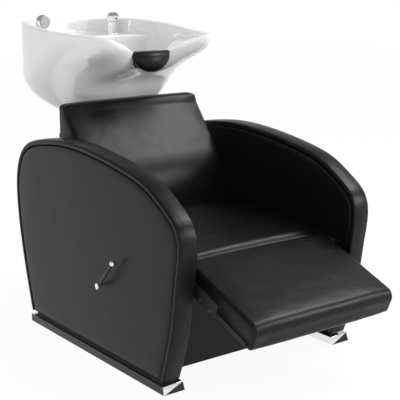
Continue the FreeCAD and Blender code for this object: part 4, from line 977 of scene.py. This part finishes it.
def armBand(side):
    # the cover round the arm's edge, and the lines of its two rows of stitches
    settings = {"count": 320, "hollow": 0.0012, "swell": 0.0004, "fold": 0.00035,
                "foldReach": 0.006, "stitchShare": 0.55, "stitchInset": 0.0009, "ends": 4}
    curve = armCurve(settings["count"])
    inwards = inwardWays(curve)
    half, depth, radius = (armSizes[key] * mm for key in ("half", "band", "round"))
    middle = armSizes["middle"] * mm * side
    hollow, swell = settings["hollow"], settings["swell"]
    profile = []
    for step in range(7):
        share = step / 6
        profile.append(((half - radius) * share, -hollow * (1 - share ** 2) + swell * share))
    for step in range(1, 6):
        turn = step / 5 * math.pi / 2
        profile.append((half - radius + radius * math.sin(turn),
                        swell + radius * (1 - math.cos(turn))))
    profile += [(half + 0.0001, depth * 0.62), (half - 0.0004, depth * 0.82),
                (half - 0.0018, depth - 0.0006), (half - 0.004, depth)]
    profile = [(-x, inset) for x, inset in reversed(profile[1:])] + profile
    profile += [(0.0, depth)]
    rings = []
    for point, inwardWay in zip(curve, inwards):
        ring = []
        for x, inset in profile:
            spot = point + inwardWay * inset
            place = Vector((x * 9, spot[0], spot[1])) * 30
            fold = noise.noise(place) * settings["fold"]
            spot = spot + inwardWay * fold * math.exp(-(inset / settings["foldReach"]) ** 2)
            ring.append(np.array((middle + x, spot[0], spot[1])))
        rings.append(ring)
    size = len(profile)
    points = [point for ring in rings for point in ring]
    faces = bridged(rings)
    faces += [tuple(range(size))[::-1], tuple(range(len(points) - size, len(points)))]
    name = ("left" if side > 0 else "right") + "BandCover"
    item = smoothShaded(meshPiece(name, points, faces), 50)
    armDressed(item, side, "arm_band")
    seams, ends = [], settings["ends"]
    for across in (-1, 1):
        x = across * (half - radius * settings["stitchShare"])
        seams.append([np.array((middle + x, *(spot + way * settings["stitchInset"])))
                      for spot, way in zip(curve[ends:-ends], inwards[ends:-ends])])
    return seams


def armPad(side, outer):
    # a panel sewn in inside the band, crowned over its whole face
    settings = {"count": 300, "cell": 0.009, "rise": 0.0008, "crown": 0.0012,
                "crownReach": 0.05, "fold": 0.0003, "foldScale": 12, "heldRings": 4}
    curve = armCurve(settings["count"])
    face = armSizes["half"] * mm
    base = (armSizes["band"] + armSizes["groove"]) * mm
    bottomLift = armSizes["groove"] * mm
    profile = [(0.0, -armSizes["padDepth"]), (0.0, -7.0), (0.5, -4.6), (1.6, -2.9), (3.2, -1.7),
               (5.5, -0.8), (9.0, -0.1), (14.0, 0.4), (20.0, 0.8)]
    rings = []
    for inset, x in profile:
        ring = armRing(curve, base + inset * mm, bottomLift + inset * mm)
        rings.append(np.column_stack([np.full(len(ring), face + x * mm), ring]))
    size = len(rings[0])
    points = list(np.vstack(rings))
    faces = bridged(rings)
    flat, fans, gaps = filledCap(rings[-1][:, 1:], settings["cell"])
    swells = settings["crown"] * (1 - np.exp(-np.array(gaps) / settings["crownReach"]))
    capped(points, faces, (len(rings) - 1) * size, size, flat, fans,
           face + settings["rise"] + swells)
    faces.append(tuple(range(size)))
    points = [np.array((armSizes["middle"] * mm * side + point[0] * side * outer, *point[1:]))
              for point in points]
    word = ("left" if side > 0 else "right") + ("Outer" if outer > 0 else "Inner")
    item = meshPiece(word + "PadCover", points, faces, False)
    tidy(item, False)
    ruffled(item, settings["fold"], settings["foldScale"], range(size * settings["heldRings"]))
    smoothShaded(item, 60)
    armDressed(item, side, "outer_pad" if outer > 0 else "inner_pad")


bandSeams = armBand(1) + armBand(-1)
for armSide in (1, -1):
    for padSide in (1, -1):
        armPad(armSide, padSide)
stitches("bandStitches", bandSeams, "bed")
print("arms ready")


# Basin
basinSizes = {"foot": 640, "height": 345, "half": 264, "rear": 340, "front": 355, "deck": 914,
              "bowl": 660, "notch": 63, "notchHeight": 890, "frontEdge": -365, "land": 4,
              "over": 20, "rimLow": 36, "rimHigh": 26, "voxel": 0.0042, "easing": 13,
              "levelEasing": 10, "bowlEasing": 4, "square": 0.85, "most": 190000}
basinHoles = ((0, 0, 21, 630), (142, 164, 17.5, 890), (-142, 164, 17.5, 890))
serviceSpace = ((-172, 125), (172, 125), (172, 200), (116, 312), (-116, 312), (-172, 200))
backWall = ((0.864, 0.441), (0.652, 0.771), (0.447, 0.965), (0.0, 1.0))
basinLevels = (
    (0.0,
     ((0.288, -0.107), (0.322, 0.0), (0.280, 0.124), (0.230, 0.175),
      (0.174, 0.209), (0.0, 0.250)),
     ((0.212, -0.180), (0.114, -0.224), (0.0, -0.239))),
    (0.128,
     ((0.598, -0.099), (0.663, 0.029), (0.568, 0.221), (0.455, 0.288),
      (0.341, 0.338), (0.0, 0.382)),
     ((0.473, -0.211), (0.227, -0.273), (0.0, -0.282))),
    (0.255,
     ((0.731, -0.008), (0.864, 0.176), (0.777, 0.368), (0.625, 0.462),
      (0.455, 0.544), (0.0, 0.588)),
     ((0.606, -0.296), (0.303, -0.324), (0.0, -0.324))),
    (0.426,
     ((0.841, -0.070), (0.992, 0.132), (0.892, 0.441), (0.701, 0.628),
      (0.511, 0.750), (0.0, 0.829)),
     ((0.625, -0.423), (0.303, -0.451), (0.0, -0.423))),
    (0.571,
     ((0.871, -0.206), (1.0, -0.014), *backWall),
     ((0.644, -0.620), (0.246, -0.735), (0.0, -0.700))),
    (0.696,
     ((0.886, -0.372), (1.0, -0.113), *backWall),
     ((0.701, -0.880), (0.303, -0.815), (0.0, -0.770))),
    (0.780,
     ((0.883, -0.650), (1.0, -0.200), *backWall),
     ((0.735, -0.960), (0.379, -0.866), (0.0, -0.810))),
    (1.0,
     ((0.845, -0.746), (0.989, -0.262), *backWall),
     ((0.701, -1.0), (0.379, -0.885), (0.0, -0.840))),
)
crestPoints = (
    (-1.0, 0.860), (-0.746, 0.880), (-0.541, 0.886), (-0.262, 0.902), (-0.014, 0.922),
    (0.138, 0.933), (0.294, 0.942), (0.441, 0.948), (1.0, 0.916),
)
bowlLevels = (
    (0.0, 0.205, -0.150, 0.150), (0.080, 0.440, -0.200, 0.190), (0.240, 0.600, -0.265, 0.215),
    (0.450, 0.760, -0.370, 0.250), (0.580, 0.835, -0.470, 0.265), (0.720, 0.860, -0.680, 0.270),
    (0.860, 0.870, -0.745, 0.275), (1.250, 0.885, -0.760, 0.280),
)


def basinSpot(x, y, z):
    reach = basinSizes["rear"] if y > 0 else basinSizes["front"]
    return np.array((x * basinSizes["half"], y * reach, z)) * mm


def easedRows(levels, rows, count, window):
    # rows of shares between levels, eased so that no level shows as a crease
    rows = np.array(rows, float).reshape(len(levels), -1)
    wanted = np.linspace(levels[0], levels[-1], count)
    made = np.stack([np.interp(wanted, levels, rows[:, column])
                     for column in range(rows.shape[1])], axis=1)
    spread = np.vstack([2 * made[0] - made[window:0:-1], made,
                        2 * made[-1] - made[-2:-window - 2:-1]])
    weights = np.hanning(2 * window + 3)[1:-1]
    weights /= weights.sum()
    eased = np.stack([np.convolve(spread[:, column], weights, "valid")
                      for column in range(made.shape[1])], axis=1)
    return wanted, eased


def basinLoop(wallShares, frontShares, z):
    # a level outline: the side and rear wall, then the front
    wall = [basinSpot(x, y, z) for x, y in wallShares]
    mirror = [point * (-1, 1, 1) for point in reversed(wall[:-1])]
    back = throughPoints(wall + mirror, 120)
    front = [basinSpot(x, y, z) for x, y in frontShares]
    other = [point * (-1, 1, 1) for point in front[:-1]]
    across = throughPoints([mirror[-1]] + other + front[::-1] + [wall[0]], 60)
    return np.vstack([back, across[1:-1]])


def insetLoop(loop, inset, count=160):
    # a closed level loop moved inwards, without the crossings at its corners
    ahead = headings(loop)
    outwards = np.column_stack([ahead[:, 1], -ahead[:, 0], np.zeros(len(loop))])
    if (outwards[0] * loop[0]).sum() < 0:
        outwards = -outwards
    moved = loop - outwards * inset
    gaps = np.linalg.norm(moved[:, None] - loop[None], axis=2).min(axis=1)
    return evenly(moved[gaps > inset * 0.985], count, True)


def lofted(name, rings):
    size = len(rings[0])
    points = np.vstack(rings)
    faces = bridged(rings)
    faces += [tuple(range(size)), tuple(range(len(points) - size, len(points)))]
    return meshPiece(name, points, faces)


def carved(item, tool, operation="DIFFERENCE"):
    modifier(item, "BOOLEAN", object=tool, operation=operation, solver="EXACT")
    flatten(item)
    bpy.data.objects.remove(tool)


def slab(name, outline, direction):
    outline = np.array(outline, float)
    return lofted(name, [outline, outline + np.array(direction, float)])


def basinPiece():
    foot, height, deck = basinSizes["foot"], basinSizes["height"], basinSizes["deck"]
    levels = [level[0] for level in basinLevels]
    rows = [[number for pair in wall + front for number in pair]
            for level, wall, front in basinLevels]
    rings = []
    for level, row in zip(*easedRows(levels, rows, 100, basinSizes["levelEasing"])):
        pairs = row.reshape(-1, 2)
        rings.append(basinLoop(pairs[:6], pairs[6:], foot + level * height))
    item = lofted("basinShell", rings)
    over = foot + height + basinSizes["over"]
    crest = throughPoints([basinSpot(0, y, foot + z * height) for y, z in crestPoints], 80)
    crest[0, 1] -= 0.01
    crest[-1, 1] += 0.01
    ends = [(0, crest[-1, 1], over * mm), (0, crest[0, 1], over * mm)]
    carved(item, slab("crestTool", np.vstack([crest, ends]) - (0.3, 0, 0), (0.6, 0, 0)))
    frontEdge, land = basinSizes["frontEdge"], basinSizes["notch"] + basinSizes["land"]
    dipRows = [(-190, 938), (-120, 916), (-land, 890), (land, 890), (120, 916), (190, 938),
               (190, over), (-190, over)]
    carved(item, slab("dipTool", np.array([(x, frontEdge, z) for x, z in dipRows]) * mm,
                      (0, (frontEdge * -1 - 200) * mm, 0)))
    rim = basinLoop(*basinLevels[-1][1:], deck)
    low, high = (insetLoop(rim, basinSizes[key] * mm) for key in ("rimLow", "rimHigh"))
    high[:, 2] = over * mm
    carved(item, lofted("recessTool", [low, high]))
    rings = []
    shares = easedRows([row[0] for row in bowlLevels], [row[1:] for row in bowlLevels], 60,
                       basinSizes["bowlEasing"])
    for share, (half, frontReach, rearReach) in zip(*shares):
        ring = []
        for step in range(96):
            turn = 2 * math.pi * step / 96
            across, along = (math.copysign(abs(part) ** basinSizes["square"], part)
                             for part in (math.cos(turn), math.sin(turn)))
            reach = rearReach if along > 0 else -frontReach
            ring.append(basinSpot(half * across, reach * along,
                                  basinSizes["bowl"] + share * (deck - basinSizes["bowl"])))
        rings.append(ring)
    carved(item, lofted("bowlTool", rings))
    radius = basinSizes["notch"]
    circle = [(radius * math.cos(step * math.pi / 32), frontEdge,
               basinSizes["notchHeight"] + radius * math.sin(step * math.pi / 32))
              for step in range(64)]
    carved(item, slab("notchTool", np.array(circle) * mm, (0, 0.165, 0)))
    carved(item, slab("spaceTool", np.array([(x, y, 620) for x, y in serviceSpace]) * mm,
                      (0, 0, 0.28)))
    modifier(item, "REMESH", mode="VOXEL", voxel_size=basinSizes["voxel"])
    flatten(item)
    modifier(item, "SMOOTH", factor=0.5, iterations=basinSizes["easing"])
    flatten(item)
    for x, y, reach, z in basinHoles:
        hole = [(x + reach * math.cos(turn), y + reach * math.sin(turn), z)
                for turn in (step * math.pi / 24 for step in range(48))]
        carved(item, slab("holeTool", np.array(hole) * mm, (0, 0, 0.04)))
    triangles = sum(len(polygon.vertices) - 2 for polygon in item.data.polygons)
    if triangles > basinSizes["most"]:
        modifier(item, "DECIMATE", ratio=basinSizes["most"] / triangles)
        flatten(item)
    smoothShaded(item, 40)
    standsFor(item, "basin")
    print("basin ready", triangles)


def neckCushion():
    # the pad's front swells out and over the edges of the notch
    settings = {"voxel": 0.002, "easing": 14, "swell": 0.024, "spread": 1.26, "middle": 0.858,
                "halfHeight": 0.036, "depthShare": 2.2, "fill": 0.7}
    item = copyOf("neck_rest", "neckCushion")
    modifier(item, "REMESH", mode="VOXEL", voxel_size=settings["voxel"])
    flatten(item)
    modifier(item, "SMOOTH", factor=0.5, iterations=settings["easing"])
    flatten(item)
    smoothShaded(item)
    places = placesOf(item)
    front, rear = places[:, 1].min(), places[:, 1].max()
    half = abs(places[:, 0]).max()
    ahead = 1 - np.minimum(1, (places[:, 1] - front) / (rear - front) * settings["depthShare"])
    rise = (places[:, 2] - settings["middle"]) / settings["halfHeight"]
    around = np.maximum(0, 1 - (places[:, 0] / half) ** 2 - rise * rise)
    spread = 1 + (settings["spread"] - 1) * ahead
    places[:, 1] -= settings["swell"] * ahead * around
    places[:, 0] *= spread
    places[:, 2] = settings["middle"] + (places[:, 2] - settings["middle"]) * spread
    placed(item, places)
    standsFor(item, "neck_rest")


basinPiece()
neckCushion()
print("neck rest ready")


# Metal, boards and plastics
hardPieces = {
    # the lever rod takes the dark chrome copy: painted shade on a chrome rod
    "lever_shaft": ("leverPost", 0.0009), "lever_rod": ("leverStick", 0.0006, "paintedShadeChrome"),
    "mixer_body": ("mixerBase", 0.0009), "spray_holder": ("sprayCup", 0.0009),
    "front_apron": ("apronBoard", 0.003), "backrest_board": ("backPanel", 0.003),
    "seat_board": ("seatPlank", 0.0008), "legrest_board": ("legPlank", 0.0008),
    "pedestal_shroud": ("pedestalCase", 0.0008), "access_panel": ("serviceDoor", 0.0006),
    "floor_plate": ("basePlate", 0.001), "basin_cradle": ("cradlePlate", 0.001),
    "front_cross_rail": ("frontBeam", 0.0008), "rear_cross_rail": ("rearBeam", 0.0008),
}
for nodeName, given in hardPieces.items():
    rounded(nodeName, *given)


def footRail(nodeName, name, shadedSide):
    # a chrome rail with a crease across its front end; the lower part of that end, and on one
    # rail the sides, take dark chrome as painted shade
    settings = {"crease": 0.006, "edge": 0.0007, "bevelFrom": 8, "sharpFrom": 25,
                "reach": 0.012}
    item = copyOf(nodeName, name)
    work = flatJoined(item)
    work.verts.ensure_lookup_table()
    ordered = sorted(work.verts, key=lambda vertex: vertex.co.y)
    front = sorted(ordered[:4], key=lambda vertex: (vertex.co.z, vertex.co.x))
    bmesh.ops.connect_vert_pair(work, verts=[front[0], front[3]])
    front[2].co.y -= settings["crease"]
    work.to_mesh(item.data)
    work.free()
    edgesEased(item, settings["edge"], settings["bevelFrom"], settings["sharpFrom"])
    standsFor(item, nodeName)
    item.data.materials.append(finishes["paintedShadeChrome"])
    low, high = placesOf(item).min(0), placesOf(item).max(0)
    # painted shade: faces below the crease at the front end, and the side faces where shadedSide
    # is set, get the dark chrome
    for polygon in item.data.polygons:
        across, _, up = (np.array(polygon.center) - low) / (high - low)
        atFront = polygon.center.y < low[1] + settings["reach"] and polygon.normal.y < -0.5
        shaded = atFront and up < across - 0.02
        shaded = shaded or (shadedSide and abs(polygon.normal.x) > 0.8)
        polygon.material_index = 1 if shaded else 0


footRail("left_foot_rail", "rightRail", True)
footRail("right_foot_rail", "leftRail", False)

for nodeName, item in frame["nodes"].items():
    painted(item, slotFinishes[slots[nodeName]])
    item.data.set_sharp_from_angle(angle=math.radians(30))
print("hard pieces ready")


# Studio: white ground, soft light from above and the front
def studio():
    settings = {"diffuse": 0.92, "horizon": 0.84, "ceiling": 0.3, "key": 58, "side": 40,
                "left": 6, "floor": 9, "glow": 0.94}
    world = bpy.data.worlds.new("studioWorld")
    scene.world = world
    world.use_nodes = True
    add = Tree(world.node_tree).add
    path = add("ShaderNodeLightPath")
    through = path.atLeast(path.out("Is Transmission Ray"))
    towards = add("ShaderNodeSeparateXYZ", {0: add("ShaderNodeTexCoord")}, "Z")
    height = add("ShaderNodeMapRange",
                 {"Value": towards, "From Min": 0.18, "From Max": 0.5,
                  "To Min": settings["horizon"], "To Max": settings["ceiling"]})
    even, mirrored, white = (
        add("ShaderNodeBackground", {"Color": (1, 1, 1, 1), "Strength": strength})
        for strength in (settings["diffuse"], height, 1.0))
    first = add("ShaderNodeMixShader", {0: path.out("Is Glossy Ray"), 1: even, 2: mirrored})
    both = add("ShaderNodeMixShader", {0: through, 1: first, 2: white})
    add("ShaderNodeOutputWorld", {"Surface": both})
    lamps = (("keyLamp", (1.9, -1.25, 3.0), 1.2, settings["key"]),
             ("sideLamp", (1.9, -2.95, 1.55), 0.9, settings["side"]),
             ("leftLamp", (-2.3, -2.4, 1.7), 1.8, settings["left"]))
    for name, place, size, power in lamps:
        data = bpy.data.lights.new(name, "AREA")
        data.shape = "DISK"
        data.size = size
        data.energy = power
        lamp = linked(name, data)
        aim = Vector((0, -0.5, 0.5)) - Vector(place)
        turn = aim.to_track_quat("-Z", "Y").to_matrix().to_4x4()
        lamp.matrix_world = Matrix.Translation(place) @ turn
    paint = Paint("paleGround")
    path = paint.add("ShaderNodeLightPath")
    shine = path.atLeast(path.out("Is Glossy Ray")).atLeast(path.out("Is Transmission Ray"))
    drift = paint.noise(0.8, 2, 0.5)
    matt = paint.add("ShaderNodeBsdfDiffuse",
                     {"Color": paint.mix(drift, grey(0.86), grey(0.9))})
    glow = paint.add("ShaderNodeEmission", {"Color": (1, 1, 1, 1), "Strength": 1.0})
    part = paint.add("ShaderNodeMixShader", {0: shine * settings["glow"], 1: matt, 2: glow})
    paint.add("ShaderNodeOutputMaterial", {"Surface": part})
    half = settings["floor"]
    corners = [(x * half, y * half, -0.0005) for x, y in ((-1, -1), (1, -1), (1, 1), (-1, 1))]
    floor = meshPiece("studioFloor", corners, [(0, 1, 2, 3)], False)
    floor.data.materials.append(paint.material)
    floor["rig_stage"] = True


studio()
scene.view_settings.view_transform = "Standard"

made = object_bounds()
for word, box in (("cad", cadBox), ("visual", made)):
    print(word, "box", [round(side, 3) for corner in box for side in corner])
